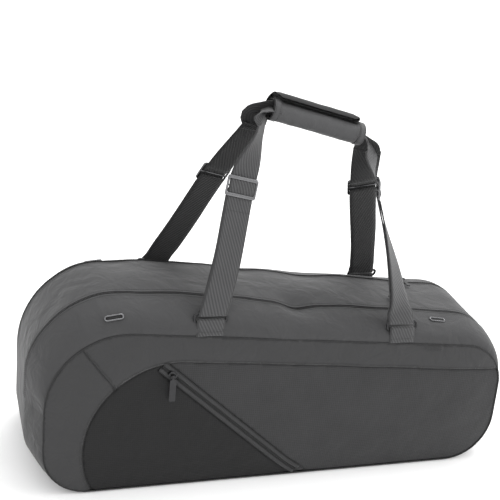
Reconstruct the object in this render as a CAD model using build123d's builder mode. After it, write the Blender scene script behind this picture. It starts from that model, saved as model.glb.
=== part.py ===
from build123d import *

import os
from math import asin, atan2, cos, degrees, hypot, radians, sin

# Racket tournament bag, in millimetres. +Z is up, +X runs along the bag towards its low end, and the pocket
# side faces -Y. The origin is the centre of the flat bottom.

# --- Driving dimensions: the body ---
bottom_half_depth = 120.0  # from the middle plane to the foot of a side panel
seam_lean = 20.0 / 232.0  # how far a side panel leans in, per millimetre of height
crown_half = 52.0  # the two mouth zippers run this far each side of the middle
wall = 3.5  # padded fabric wall

seam_left, seam_right = -357.0, 371.0  # ends of the side panels
seam_height_left, seam_height_right = 262.0, 201.0
seam_radii = [70.0, 118.0, 75.0, 78.0]  # bottom left, top left, top right, bottom right

crown_left, crown_right = -375.0, 375.0  # ends of the crown, between the mouth zippers
crown_height_left, crown_height_right = 310.0, 227.0
crown_radii = [73.0, 134.0, 90.0, 80.0]

gusset_height = 128.0  # the bottom panel wraps up both ends to here
bottom_end = 270.0  # the bottom panel's flat stretch; an end wrap is sewn on beyond it
crown_top = (-235.0, 280.0)  # the centre band's straight stretch; its ends are sewn on beyond it
flap_foot = 150.0  # a mouth flap starts above this height
past_side = 130.0  # just beyond the foot of a side panel
gap = 0.3  # clearance between neighbours
seam_gap = 0.1  # clearance where two pieces of fabric are sewn end to end

# --- Driving dimensions: zippers ---
tape_half = 3.2  # each zipper tape half shows this much
zip_gap = 0.1  # from the coil's middle line to either tape
flap_ends = {"front": (-80.0, 135.0), "rear": (-120.0, 150.0)}  # the part of a mouth that folds out
mouth_sliders = {"front": (192.0, 208.0), "rear": (231.0, 247.0)}  # where the two sliders meet
slider_offset = 6.2  # the sliders sit on the crown's side of the coil
pocket_swell = 6.6  # the filled pocket carries its slider this far out of the panel's plane

# --- Driving dimensions: pocket side, in the panel's own plane ---
yoke_drop = 42.0  # the yoke's lower seam below the panel's top seam
pocket_arc_x, pocket_arc_radius = -163.0, 136.0  # the pocket's rounded end
zip_start, zip_end = (-183.0, 193.0), (36.0, 4.0)
zip_half_width = 8.0
panel_thickness = 3.0

# --- Driving dimensions: straps and hardware ---
webbing_width = 42.0
webbing_thickness = 2.4
ring_bar = 4.0
ring_inner = (44.0, 12.5)
ring_stand = 18.0  # from the seam to the ring's lower bar
loop_inner, loop_outer = 3.2, 5.6
handle_centre = (29.5, -12.0, 534.0)
handle_slope = radians(14.0)
handle_half_length = 74.5
wrap_radius = 16.0
grab_width = 26.0

# Each strap leg: side, anchor x, head point where it meets the hand wrap, height of its tri-glide, twist of
# the upper part in degrees.
legs = {
    "front_left": ("front", -122.0, (-64.0, -20.0, 522.0), 445.0, 0.0),
    "front_right": ("front", 183.0, (120.0, -20.0, 490.0), 440.0, 62.0),
    "rear_left": ("rear", -168.0, (-64.0, -4.0, 522.0), 435.0, 0.0),
    "rear_right": ("rear", 195.0, (120.0, -4.0, 490.0), 418.0, 0.0),
}
slots = {"left": (-264.0, 0.5), "right": (252.0, 0.7)}  # x, and the share of the way up to the zipper
slot_cut, grommet_outer, grommet_inner = (22.0, 3.6), (28.0, 8.0), (20.0, 3.0)
glide_size, glide_window = (50.0, 26.0), (43.0, 5.4)
glide_thickness = 3.0

# --- Frames of reference ---
lean = atan2(seam_lean, 1.0)
slant = 1.0 / cos(lean)  # length in a leaning panel's plane per millimetre of height
front_plane = Plane(
    origin=(0, -bottom_half_depth, 0), x_dir=(1, 0, 0), z_dir=(0, -cos(lean), sin(lean))
)
rear_plane = Plane(
    origin=(0, bottom_half_depth, 0), x_dir=(1, 0, 0), z_dir=(0, -cos(lean), -sin(lean))
)
outside_y = {"front": -1.0, "rear": 1.0}  # the sign of y on each side


def seam_height(x):
    """Height of a side panel's top seam."""
    run = (x - seam_left) / (seam_right - seam_left)
    return seam_height_left + (seam_height_right - seam_height_left) * run


def crown_height(x):
    """Height of the crown's straight stretch."""
    run = (x - crown_left) / (crown_right - crown_left)
    return crown_height_left + (crown_height_right - crown_height_left) * run


def seam_y(side, z):
    """The y of a side panel's outer face at height z."""
    return outside_y[side] * (bottom_half_depth - seam_lean * z)


def side_outline(plane, inset):
    """A side panel's rounded outline, shrunk by inset."""
    with BuildSketch(plane) as shape:
        with BuildLine():
            FilletPolyline(
                (seam_left + inset, inset),
                (seam_left + inset, seam_height_left * slant - inset),
                (seam_right - inset, seam_height_right * slant - inset),
                (seam_right - inset, inset),
                radius=[r - inset for r in seam_radii],
                close=True,
            )
        make_face()
    return shape.sketch


def crown_outline(plane, inset):
    """The larger outline that the two mouth zippers follow."""
    with BuildSketch(plane) as shape:
        with BuildLine():
            FilletPolyline(
                (crown_left + inset, inset),
                (crown_left + inset, crown_height_left - inset),
                (crown_right - inset, crown_height_right - inset),
                (crown_right - inset, inset),
                radius=[r - inset for r in crown_radii],
                close=True,
            )
        make_face()
    return shape.sketch


def body_sections(inset):
    """The four sections that the bag's skin is lofted through, from the front side to the rear side."""
    return [
        side_outline(front_plane, inset),
        crown_outline(Plane.XZ.offset(crown_half), inset),
        crown_outline(Plane.XZ.offset(-crown_half), inset),
        side_outline(rear_plane, inset),
    ]


def save(name, piece):
    """Label a finished piece and write it."""
    piece.part.label = name
    export_step(piece.part, f"parts/{name}.step")


os.makedirs("parts", exist_ok=True)

# --- The skin: one tube of fabric round the bag, cut into bottom, bands and flaps ---
with BuildPart() as skin:
    loft(sections=body_sections(0.0), ruled=True)
    loft(sections=body_sections(wall), ruled=True, mode=Mode.SUBTRACT)


def skin_piece(x_range, y_range, z_range):
    """The stretch of the skin that lies inside a box."""
    low = (x_range[0], y_range[0], z_range[0])
    size = (x_range[1] - x_range[0], y_range[1] - y_range[0], z_range[1] - z_range[0])
    with BuildPart() as piece:
        add(skin.part)
        with Locations(low):
            Box(*size, align=(Align.MIN, Align.MIN, Align.MIN), mode=Mode.INTERSECT)
    return piece


everywhere = (crown_left - 10.0, crown_right + 10.0)
above_gusset = (gusset_height + gap, crown_height_left + 20.0)
tape_outer = crown_half + zip_gap + tape_half
tape_inner = crown_half - zip_gap - tape_half


def side_range(side, near, far):
    """A range of y on one side of the bag, from near to far away from the middle plane."""
    return (-far, -near) if side == "front" else (near, far)


whole_depth = (-past_side, past_side)
wrap_z = (-1.0, gusset_height)
save("bottom_panel", skin_piece((-bottom_end, bottom_end), whole_depth, wrap_z))
save("left_end_wrap", skin_piece((everywhere[0], -bottom_end - seam_gap), whole_depth, wrap_z))
save("right_end_wrap", skin_piece((bottom_end + seam_gap, everywhere[1]), whole_depth, wrap_z))

crown_y = (-tape_inner + gap, tape_inner - gap)
save("centre_band", skin_piece(crown_top, crown_y, above_gusset))
save("centre_band_left", skin_piece((everywhere[0], crown_top[0] - seam_gap), crown_y, above_gusset))
save("centre_band_right", skin_piece((crown_top[1] + seam_gap, everywhere[1]), crown_y, above_gusset))


def slot_plane(side, x, share):
    """The plane of a slot grommet, on the outside of a side band, between seam and zipper."""
    foot = Vector(x, seam_y(side, seam_height(x)), seam_height(x))
    head = Vector(x, outside_y[side] * crown_half, crown_height(x))
    seam_fall = seam_height(x + 1) - seam_height(x)
    crown_fall = crown_height(x + 1) - crown_height(x)
    slope = Vector(1, 0, seam_fall * (1 - share) + crown_fall * share)
    normal = slope.cross(head - foot) * (-outside_y[side])
    return Plane(origin=foot + (head - foot) * share, x_dir=slope, z_dir=normal)


inner_tapes, outer_tapes = [], []
for side in ("front", "rear"):
    flap_start, flap_stop = flap_ends[side]
    band_y = side_range(side, tape_outer + gap, past_side)
    outer_tape_y = side_range(side, crown_half + zip_gap, tape_outer)
    inner_tape_y = side_range(side, tape_inner, crown_half - zip_gap)

    for end, x_range in (
        ("left", (everywhere[0], flap_start - 0.6)),
        ("right", (flap_stop + 0.6, everywhere[1])),
    ):
        band = skin_piece(x_range, band_y, above_gusset)
        with BuildPart() as cut_band:
            add(band.part)
            with BuildSketch(slot_plane(side, *slots[end]).offset(-8.0)):
                SlotOverall(*slot_cut)
            extrude(amount=16.0, mode=Mode.SUBTRACT)
        save(f"{side}_band_{end}", cut_band)

    flap = skin_piece((flap_start, flap_stop), band_y, (flap_foot, above_gusset[1]))
    save(f"{side}_flap", flap)
    flap_tape = skin_piece((flap_start, flap_stop), outer_tape_y, (flap_foot, above_gusset[1]))
    save(f"{side}_flap_tape", flap_tape)
    inner_tapes.append(skin_piece(everywhere, inner_tape_y, above_gusset))
    outer_tapes.append(skin_piece((everywhere[0], flap_start - 0.6), outer_tape_y, above_gusset))
    outer_tapes.append(skin_piece((flap_stop + 0.6, everywhere[1]), outer_tape_y, above_gusset))

for name, strips in (("inner_tapes", inner_tapes), ("outer_tapes", outer_tapes)):
    with BuildPart() as tapes:
        for strip in strips:
            add(strip.part)
    save(name, tapes)

# --- The pocket side panel: yoke, ripstop panels, pocket zipper ---
panel_inset = wall + 0.6
lining_inset = wall + 1.4
zip_angle = degrees(atan2(zip_end[1] - zip_start[1], zip_end[0] - zip_start[0]))
zip_length = hypot(zip_end[0] - zip_start[0], zip_end[1] - zip_start[1])
zip_middle = ((zip_start[0] + zip_end[0]) / 2, (zip_start[1] + zip_end[1]) / 2)


def yoke_seam(x):
    """Height, in the panel's plane, of the seam between the yoke and the ripstop pocket."""
    return (seam_height(x) - yoke_drop) * slant


def pocket_outline(plane, grow):
    """The ripstop pocket's region: rounded at its left, and running off the panel elsewhere."""
    right = seam_right + 20.0
    fall = atan2(yoke_seam(right) - yoke_seam(0), right)
    radius = pocket_arc_radius + grow
    centre = (pocket_arc_x, yoke_seam(pocket_arc_x) - pocket_arc_radius / cos(fall))
    bottom_angle = 180.0 + degrees(asin((centre[1] + 20.0) / radius))
    with BuildSketch(plane) as shape:
        with BuildLine():
            rounded = CenterArc(centre, radius, 90.0 + degrees(fall), bottom_angle - 90.0 - degrees(fall))
            top = Line(rounded @ 0, (right, yoke_seam(right) + grow))
            side = Line(top @ 1, (right, -20.0))
            Line(side @ 1, rounded @ 1)
        make_face()
    return shape.sketch


def zip_strip(plane, half_width, extra_length):
    """A straight strip along the pocket zipper."""
    with BuildSketch(plane) as shape:
        with Locations(zip_middle):
            Rectangle(zip_length + extra_length, 2 * half_width, rotation=zip_angle)
    return shape.sketch


def zip_side(plane, upper):
    """Everything on one side of the pocket zipper's middle line, clear of its strip."""
    normal = radians(zip_angle + 90.0)
    reach = 400.0
    shift = (zip_half_width + 0.1 + reach) * (1 if upper else -1)
    centre = (zip_middle[0] + shift * cos(normal), zip_middle[1] + shift * sin(normal))
    with BuildSketch(plane) as shape:
        with Locations(centre):
            Rectangle(4 * reach, 2 * reach, rotation=zip_angle)
    return shape.sketch


with BuildPart() as front_yoke:
    with BuildSketch(front_plane):
        add(side_outline(Plane.XY, panel_inset))
        add(pocket_outline(Plane.XY, 0.1), mode=Mode.SUBTRACT)
    extrude(amount=-panel_thickness)
save("front_yoke", front_yoke)

for name, upper in (("pocket_panel_left", False), ("pocket_panel_right", True)):
    with BuildPart() as pocket_panel:
        with BuildSketch(front_plane):
            add(side_outline(Plane.XY, panel_inset))
            add(pocket_outline(Plane.XY, -0.1), mode=Mode.INTERSECT)
            add(zip_side(Plane.XY, upper), mode=Mode.INTERSECT)
        extrude(amount=-panel_thickness)
    save(name, pocket_panel)

welt_width = 5.0
with BuildPart() as pocket_welts:
    with BuildSketch(front_plane):
        add(zip_strip(Plane.XY, zip_half_width, 8.0))
        add(zip_strip(Plane.XY, zip_half_width - welt_width, 40.0), mode=Mode.SUBTRACT)
        add(side_outline(Plane.XY, panel_inset), mode=Mode.INTERSECT)
        add(pocket_outline(Plane.XY, -0.1), mode=Mode.INTERSECT)
    extrude(amount=-panel_thickness)
save("pocket_welts", pocket_welts)

with BuildPart() as pocket_zip_coil:
    with BuildSketch(front_plane.offset(-0.8)):
        add(zip_strip(Plane.XY, zip_half_width - welt_width - 0.1, 8.0))
        add(side_outline(Plane.XY, panel_inset), mode=Mode.INTERSECT)
        add(pocket_outline(Plane.XY, -0.1), mode=Mode.INTERSECT)
    extrude(amount=-(panel_thickness - 0.8))
save("pocket_zip_coil", pocket_zip_coil)

with BuildPart() as pocket_bag:
    with BuildSketch(front_plane.offset(-panel_thickness - 0.2)):
        add(side_outline(Plane.XY, panel_inset + 6.0))
        add(pocket_outline(Plane.XY, -6.0), mode=Mode.INTERSECT)
    extrude(amount=-2.0)
save("pocket_bag", pocket_bag)

# --- Linings, rear panel, inner pocket, divider, base board ---
with BuildPart() as front_lining:
    with BuildSketch(front_plane.offset(-panel_thickness - 2.5)):
        add(side_outline(Plane.XY, lining_inset))
    extrude(amount=-2.0)
save("front_lining", front_lining)

with BuildPart() as rear_panel:
    with BuildSketch(rear_plane):
        add(side_outline(Plane.XY, panel_inset))
    extrude(amount=panel_thickness)
save("rear_panel", rear_panel)

with BuildPart() as rear_lining:
    with BuildSketch(rear_plane.offset(panel_thickness + 0.2)):
        add(side_outline(Plane.XY, lining_inset))
    extrude(amount=2.0)
save("rear_lining", rear_lining)

inner_pocket_size = (300.0, 120.0)
inner_pocket_centre = (60.0, 90.0)
with BuildPart() as inner_pocket:
    with BuildSketch(rear_plane.offset(panel_thickness + 2.5)):
        with Locations(inner_pocket_centre):
            RectangleRounded(*inner_pocket_size, 18.0)
    extrude(amount=1.6)
save("inner_pocket", inner_pocket)

with BuildPart() as centre_divider:
    with BuildSketch(Plane.XZ.offset(1.5)):
        add(crown_outline(Plane.XY, wall + 0.3))
        with Locations((0, 0)):
            Rectangle(900.0, 9.0, align=(Align.CENTER, Align.MIN), mode=Mode.SUBTRACT)
    extrude(amount=-3.0)
save("centre_divider", centre_divider)

with BuildPart() as base_board:
    with Locations((0, 0, wall + 0.3)):
        Box(560.0, 215.0, 3.0, align=(Align.CENTER, Align.CENTER, Align.MIN))
    fillet(base_board.edges().filter_by(Axis.Z), 15.0)
save("base_board", base_board)

# --- Slot grommets ---
with BuildPart() as slot_grommets:
    for side in ("front", "rear"):
        for slot in slots.values():
            with BuildSketch(slot_plane(side, *slot).offset(0.1)):
                SlotOverall(*grommet_outer)
                SlotOverall(*grommet_inner, mode=Mode.SUBTRACT)
            extrude(amount=1.4)
save("slot_grommets", slot_grommets)


# --- Strap hardware: a plane at each anchor ---
def leg_frame(name):
    """Pivot of the ring's lower bar, unit direction of the leg in the YZ plane, and the head point."""
    side, x, head, _, _ = legs[name]
    z = seam_height(x)
    y = seam_y(side, z)
    run = Vector(0, head[1] - y, head[2] - z).normalized()
    pivot = Vector(x, y, z) + run * ring_stand
    return pivot, run, Vector(*head)


def leg_plane(name, along):
    """Plane across the leg at a distance along it: x runs along the bag and z up the leg."""
    pivot, run, head = leg_frame(name)
    x = pivot.X + (head.X - pivot.X) * along / (head - pivot).dot(run)
    origin = Vector(x, pivot.Y, pivot.Z) + run * along
    return Plane(origin=origin, x_dir=(1, 0, 0), z_dir=run)


def profile_plane(name):
    """Plane of a webbing loop's profile at the anchor: its x is up the leg, and it is extruded along X."""
    pivot, run, _ = leg_frame(name)
    return Plane(origin=pivot, x_dir=run, z_dir=(1, 0, 0))


ring_reach = ring_inner[1] + ring_bar  # from the lower bar to the upper bar

with BuildPart() as anchor_tabs:
    for name in legs:
        tail_side = -outside_y[legs[name][0]] * webbing_thickness / 2
        with BuildSketch(profile_plane(name)):
            Circle(loop_outer)
            with Locations((-6.5, tail_side)):
                Rectangle(5.0, webbing_thickness)
            Circle(loop_inner, mode=Mode.SUBTRACT)
        extrude(amount=webbing_width / 2, both=True)
save("anchor_tabs", anchor_tabs)

for name in legs:
    pivot, run, head = leg_frame(name)
    side, _, _, glide_height, twist = legs[name]
    ring_middle = pivot + run * (ring_reach / 2)
    ring_plane = Plane(origin=ring_middle, x_dir=(1, 0, 0), z_dir=Vector(1, 0, 0).cross(run))
    with BuildPart() as ring:
        with BuildSketch(ring_plane.offset(-ring_bar / 2)):
            RectangleRounded(ring_inner[0] + 2 * ring_bar, ring_inner[1] + 2 * ring_bar, 5.0)
            RectangleRounded(ring_inner[0], ring_inner[1], 2.0, mode=Mode.SUBTRACT)
        extrude(amount=ring_bar)
        chamfer(ring.faces().filter_by(ring_plane).edges(), 0.9)
    save(f"{name}_ring", ring)

    # the leg: a loop on the ring's upper bar, a doubled stretch, and a single stretch past the tri-glide
    glide_along = (glide_height - pivot.Z) / run.Z
    rise = (head - pivot).dot(run)
    drift = (head.X - pivot.X) / rise
    skew = Vector(drift, 0, 0) + run
    doubled_start = ring_reach + loop_outer + 0.2
    split = glide_along - 17.0
    stretch_factor = skew.length
    with BuildPart() as leg:
        with BuildSketch(profile_plane(name).shift_origin(pivot + run * ring_reach)):
            Circle(loop_outer)
            Circle(loop_inner, mode=Mode.SUBTRACT)
            with Locations((loop_outer / 2 + loop_inner / 2 + 1.5, 0)):
                Rectangle(3.4, 4.8)
        extrude(amount=webbing_width / 2, both=True)
        with BuildSketch(leg_plane(name, doubled_start)):
            Rectangle(webbing_width, 2 * webbing_thickness)
        extrude(amount=(split - doubled_start) * stretch_factor, dir=skew)
        with BuildSketch(leg_plane(name, split + 0.5).rotated((0, 0, twist))):
            Rectangle(webbing_width, webbing_thickness)
        extrude(amount=(rise - split - 0.5 - twist / 2) * stretch_factor, dir=skew)
    save(f"{name}_strap", leg)

    # the tri-glide rides on the outer face of the single stretch
    flat = leg_plane(name, glide_along).rotated((0, 0, twist))
    face = skew.cross(flat.x_dir).normalized()
    face = face * (1.0 if face.Y * outside_y[side] > 0 else -1.0)
    glide_plane = Plane(
        origin=flat.origin + face * (webbing_thickness / 2 + 0.4), x_dir=flat.x_dir, z_dir=face
    )
    with BuildPart() as tri_glide:
        with BuildSketch(glide_plane):
            RectangleRounded(*glide_size, 4.0)
            with Locations((0, 6.6), (0, -6.6)):
                RectangleRounded(*glide_window, 1.5, mode=Mode.SUBTRACT)
        extrude(amount=glide_thickness)
        chamfer(tri_glide.faces().sort_by(Axis(glide_plane.origin, glide_plane.z_dir))[-1].edges(), 0.7)
    save(f"{name}_tri_glide", tri_glide)

# --- Hand wrap: its z runs along the grip, its x towards the rear, its y up ---
grip = Plane(
    origin=handle_centre, x_dir=(0, 1, 0), z_dir=(cos(handle_slope), 0, -sin(handle_slope))
)


def grip_tube(outer, inner, start, stop):
    """A tube round the grip's axis."""
    with BuildPart() as tube:
        with BuildSketch(grip.offset(start)):
            Circle(outer)
            Circle(inner, mode=Mode.SUBTRACT)
        extrude(amount=stop - start)
    return tube


def grip_arc(outer, inner, start_angle, stop_angle, half_length):
    """A curved strip on the grip, between two angles."""
    with BuildPart() as strip:
        with BuildSketch(grip.offset(-half_length)):
            with BuildLine():
                outside = CenterArc((0, 0), outer, start_angle, stop_angle - start_angle)
                inside = CenterArc((0, 0), inner, start_angle, stop_angle - start_angle)
                Line(outside @ 0, inside @ 0)
                Line(outside @ 1, inside @ 1)
            make_face()
        extrude(amount=2 * half_length)
    return strip


save("handle_wrap", grip_tube(wrap_radius, 12.6, -handle_half_length, handle_half_length))
save("handle_core", grip_tube(12.3, 8.7, -handle_half_length + 3.0, handle_half_length - 3.0))
save("wrap_flap", grip_arc(19.0, 16.8, 5.0, 105.0, 61.0))
save("wrap_hook_strip", grip_arc(16.5, 16.1, 45.0, 95.0, 58.0))

with BuildPart() as wrap_end_bands:
    for start in (-handle_half_length + 1.0, handle_half_length - 10.0):
        with BuildSketch(grip.offset(start)):
            Circle(17.6)
            Circle(wrap_radius + 0.1, mode=Mode.SUBTRACT)
        extrude(amount=9.0)
save("wrap_end_bands", wrap_end_bands)

with BuildPart() as strap_bridges:
    with BuildSketch(grip.offset(-handle_half_length - 6.0)):
        with Locations((-2.7, 0), (2.7, 0)):
            Rectangle(4.4, 13.0)
    extrude(amount=2 * (handle_half_length + 6.0))
    fillet(strap_bridges.edges().filter_by(Axis(grip.origin, grip.z_dir)), 0.8)
save("strap_bridges", strap_bridges)

# --- Grab handle on the rear panel ---
grab_height = 163.0 * slant
grab_span = (-152.0, 172.0)
grab_rise = 28.0
grab_thickness = 3.2
grab_plane = Plane(
    origin=rear_plane.from_local_coords((0, grab_height - grab_width / 2, 0)),
    x_dir=(1, 0, 0),
    z_dir=rear_plane.y_dir,
)
with BuildPart() as grab_handle:
    with BuildSketch(grab_plane):
        with BuildLine():
            FilletPolyline(
                (grab_span[0], gap),
                (grab_span[0] + 26.0, grab_rise),
                (grab_span[1] - 26.0, grab_rise),
                (grab_span[1], gap),
                radius=[0.0, 18.0, 18.0, 0.0],
                close=True,
            )
        make_face()
        with BuildLine():
            FilletPolyline(
                (grab_span[0] + 7.0, gap - 1.0),
                (grab_span[0] + 29.5, grab_rise - grab_thickness),
                (grab_span[1] - 29.5, grab_rise - grab_thickness),
                (grab_span[1] - 7.0, gap - 1.0),
                radius=[0.0, 15.0, 15.0, 0.0],
                close=True,
            )
        make_face(mode=Mode.SUBTRACT)
    extrude(amount=grab_width)
save("grab_handle", grab_handle)

with BuildPart() as grab_tabs:
    with BuildSketch(rear_plane.offset(-gap)):
        with Locations((grab_span[0] - 22.0, grab_height), (grab_span[1] + 22.0, grab_height)):
            RectangleRounded(42.0, grab_width + 6.0, 3.0)
    extrude(amount=-2.6)
save("grab_tabs", grab_tabs)


# --- Zipper sliders and their pullers ---
def zip_puller(plane, length, width):
    """A pull tab with an eye round the hinge bar, lying along the plane's x."""
    eye_plane = Plane(
        origin=plane.from_local_coords((0, -1.7, 6.6)), x_dir=plane.x_dir, z_dir=plane.y_dir
    )
    with BuildPart() as puller:
        with BuildSketch(plane.offset(5.9)):
            with Locations((3.6, 0)):
                Rectangle(4.6, 3.4)
            with Locations((4.8 + length / 2, 0)):
                RectangleRounded(length, width, 1.6)
        extrude(amount=1.4)
        with BuildSketch(eye_plane):
            Circle(2.0)
        extrude(amount=3.4)
        with BuildSketch(eye_plane):
            Circle(1.1)
        extrude(amount=3.4, mode=Mode.SUBTRACT)
    return puller


crown_slope = Vector(1, 0, (crown_height_right - crown_height_left) / (crown_right - crown_left))


def slider_body(travel_plane, puller_plane, foot):
    """A slider on its zipper, with a hinge bar for a puller that lies along the puller plane's x."""
    with BuildPart() as slider:
        with BuildSketch(travel_plane.offset(foot)):
            RectangleRounded(13.0, 8.8, 2.4)
        extrude(amount=4.1 - foot)
        chamfer(slider.faces().sort_by(Axis(travel_plane.origin, travel_plane.z_dir))[-1].edges(), 0.6)
        with BuildSketch(puller_plane.offset(4.0)):
            with Locations((0, 2.8), (0, -2.8)):
                Rectangle(3.6, 1.2)
        extrude(amount=4.2)
        bar_start = puller_plane.from_local_coords((0, -2.9, 6.6))
        with BuildSketch(Plane(origin=bar_start, x_dir=puller_plane.x_dir, z_dir=puller_plane.y_dir)):
            Circle(0.8)
        extrude(amount=5.8)
    return slider


for side in ("front", "rear"):
    for letter, x in zip("ab", mouth_sliders[side]):
        spot = (x, outside_y[side] * (crown_half - slider_offset), crown_height(x))
        up = crown_slope.cross(Vector(0, 1, 0))
        seat = Plane(origin=spot, x_dir=crown_slope, z_dir=up)
        lying = Plane(origin=spot, x_dir=(0, -outside_y[side], 0), z_dir=up)
        save(f"{side}_slider_{letter}", slider_body(seat, lying, 0.5))
        save(f"{side}_puller_{letter}", zip_puller(lying, 20.0, 6.5))

pocket_slider_at = front_plane.from_local_coords((zip_start[0] + 8.0, zip_start[1] - 7.0, pocket_swell))
travel = front_plane.from_local_coords((*zip_end, 0.0)) - front_plane.from_local_coords((*zip_start, 0.0))
pocket_seat = Plane(origin=pocket_slider_at, x_dir=travel, z_dir=front_plane.z_dir)
hanging_seat = Plane(
    origin=pocket_slider_at, x_dir=front_plane.y_dir * -1, z_dir=front_plane.z_dir
)
save("pocket_slider", slider_body(pocket_seat, hanging_seat, 0.3 - pocket_swell))
save("pocket_puller", zip_puller(hanging_seat, 34.0, 9.5))


# --- Joint axes, printed in metres ---
def shown(values):
    return [round(v, 5) for v in values]


for side, (flap_start, flap_stop) in flap_ends.items():
    start = Vector(flap_start, seam_y(side, seam_height(flap_start)), seam_height(flap_start))
    stop = Vector(flap_stop, seam_y(side, seam_height(flap_stop)), seam_height(flap_stop))
    print(side, "flap hinge", shown(start / 1000), "axis", shown((stop - start).normalized()))
for name in legs:
    pivot, run, head = leg_frame(name)
    print(name, "ring hinge", shown(pivot / 1000), "leg", shown(run), "head", shown(head / 1000))
flap_hinge = grip.from_local_coords((17.9 * cos(radians(5.0)), 17.9 * sin(radians(5.0)), 0))
print("grip axis", shown(grip.z_dir), "wrap flap hinge", shown(flap_hinge / 1000))
for side in ("front", "rear"):
    for letter, x in zip("ab", mouth_sliders[side]):
        bar = Vector(x, outside_y[side] * (crown_half - slider_offset), crown_height(x))
        bar = bar + crown_slope.cross(Vector(0, 1, 0)).normalized() * 6.6
        print(side, letter, "puller hinge", shown(bar / 1000))
pocket_hinge = hanging_seat.from_local_coords((0, 0, 6.6))
print("pocket travel", shown(travel.normalized()), "puller hinge", shown(pocket_hinge / 1000))
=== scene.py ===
from math import asin, atan2, ceil, cos, pi, radians, sin, tan

import bpy
import numpy as np
from mathutils import Matrix, Vector, noise
from mathutils.geometry import delaunay_2d_cdt


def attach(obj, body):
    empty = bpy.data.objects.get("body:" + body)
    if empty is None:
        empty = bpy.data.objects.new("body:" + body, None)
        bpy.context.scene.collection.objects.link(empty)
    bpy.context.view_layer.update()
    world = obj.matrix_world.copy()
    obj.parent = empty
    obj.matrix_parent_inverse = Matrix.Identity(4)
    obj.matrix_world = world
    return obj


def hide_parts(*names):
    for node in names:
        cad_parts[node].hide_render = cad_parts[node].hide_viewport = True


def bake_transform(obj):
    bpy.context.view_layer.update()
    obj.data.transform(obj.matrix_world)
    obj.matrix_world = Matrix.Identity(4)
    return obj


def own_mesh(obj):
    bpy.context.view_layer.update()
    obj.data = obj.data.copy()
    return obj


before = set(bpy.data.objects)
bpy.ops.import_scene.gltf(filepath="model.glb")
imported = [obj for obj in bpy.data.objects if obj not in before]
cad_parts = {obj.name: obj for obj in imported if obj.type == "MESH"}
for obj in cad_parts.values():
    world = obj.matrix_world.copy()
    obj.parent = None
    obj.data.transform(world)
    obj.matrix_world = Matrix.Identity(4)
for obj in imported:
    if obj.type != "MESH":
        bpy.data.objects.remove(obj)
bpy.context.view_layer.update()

# Racket tournament bag. Shapes are worked out in millimetres, in the frame of the CAD parts, and turned into
# metres where a mesh is made.
METRE = 0.001

# --- Driving dimensions, the same as the CAD frame's ---
bottom_half_depth = 120.0
lean = atan2(20.0, 232.0)
crown_half = 52.0
seam_corners = ((-357.0, 0.0), (371.0, 0.0), (371.0, 201.0), (-357.0, 262.0))
seam_radii = (70.0, 78.0, 75.0, 118.0)
crown_corners = ((-375.0, 0.0), (375.0, 0.0), (375.0, 227.0), (-375.0, 310.0))
crown_radii = (73.0, 80.0, 90.0, 134.0)
gusset_height = 128.0
flap_ends = {"front": (-80.0, 135.0), "rear": (-120.0, 150.0)}
outside = {"front": -1.0, "rear": 1.0}
seam_inset = 3.0  # the side panels' seam lies this far inside the outline
yoke_drop = 42.0
pocket_arc_x, pocket_arc_radius = -163.0, 136.0
pocket_swell = 6.6
tri_glide_outer, tri_glide_window, tri_glide_depth = (24.0, 15.0), (21.4, 9.6), 2.6
grommet_rim, grommet_hole = (12.8, 3.3, 3.2), (12.3, 2.8, 2.7)  # half sizes and corner radius
zip_start, zip_end, zip_half_width = (-183.0, 193.0), (36.0, 4.0), 8.0
webbing_width, webbing_thickness = 42.0, 2.2
ring_bar, ring_inner, ring_stand = 4.0, (44.0, 8.5), 18.0  # drawn tight: the webbing fills the ring
ring_reach = ring_inner[1] + ring_bar
handle_centre = np.array((29.5, -12.0, 534.0))
handle_slope = radians(14.0)
handle_half_length = 74.5
# side, place along the bag, upper end of the leg, height of its tri-glide
legs = {
    "front_left": ("front", -122.0, (-64.0, -20.0, 522.0), 445.0),
    "front_right": ("front", 183.0, (120.0, -20.0, 490.0), 440.0),
    "rear_left": ("rear", -168.0, (-64.0, -4.0, 522.0), 435.0),
    "rear_right": ("rear", 195.0, (120.0, -4.0, 490.0), 418.0),
}
# place along the bag, share of the way up the band
slots = {"left": (-264.0, 0.52), "right": (252.0, 0.72)}


def vec(*values):
    return np.array(values, float)


def unit(v):
    """v, or each row of v, at length one."""
    return v / np.maximum(np.linalg.norm(v, axis=-1, keepdims=True), 1e-9)


def ease(t):
    """A smooth step from 0 to 1."""
    t = np.clip(t, 0.0, 1.0)
    return t * t * (3 - 2 * t)


def hump(t, centre, spread):
    """A soft bump of height one."""
    return np.exp(-(((t - centre) / spread) ** 2))


def wander(points, size, seed):
    """Smooth noise between about -1 and 1 at each point; size is its grain in millimetres."""
    shift = Vector((seed * 17.3, seed * 5.1, seed * 9.7))
    flat = points.reshape(-1, 3)
    values = [noise.noise(Vector(p) / size + shift) for p in flat]
    return np.array(values).reshape(points.shape[:-1])


def run_lengths(line):
    """The distance walked along a polyline, at each of its points."""
    return np.concatenate([[0], np.cumsum(np.linalg.norm(np.diff(line, axis=0), axis=1))])


grip_way = vec(cos(handle_slope), 0, -sin(handle_slope))
grip_up = vec(sin(handle_slope), 0, cos(handle_slope))
grip_back = vec(0, 1.0, 0)


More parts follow.
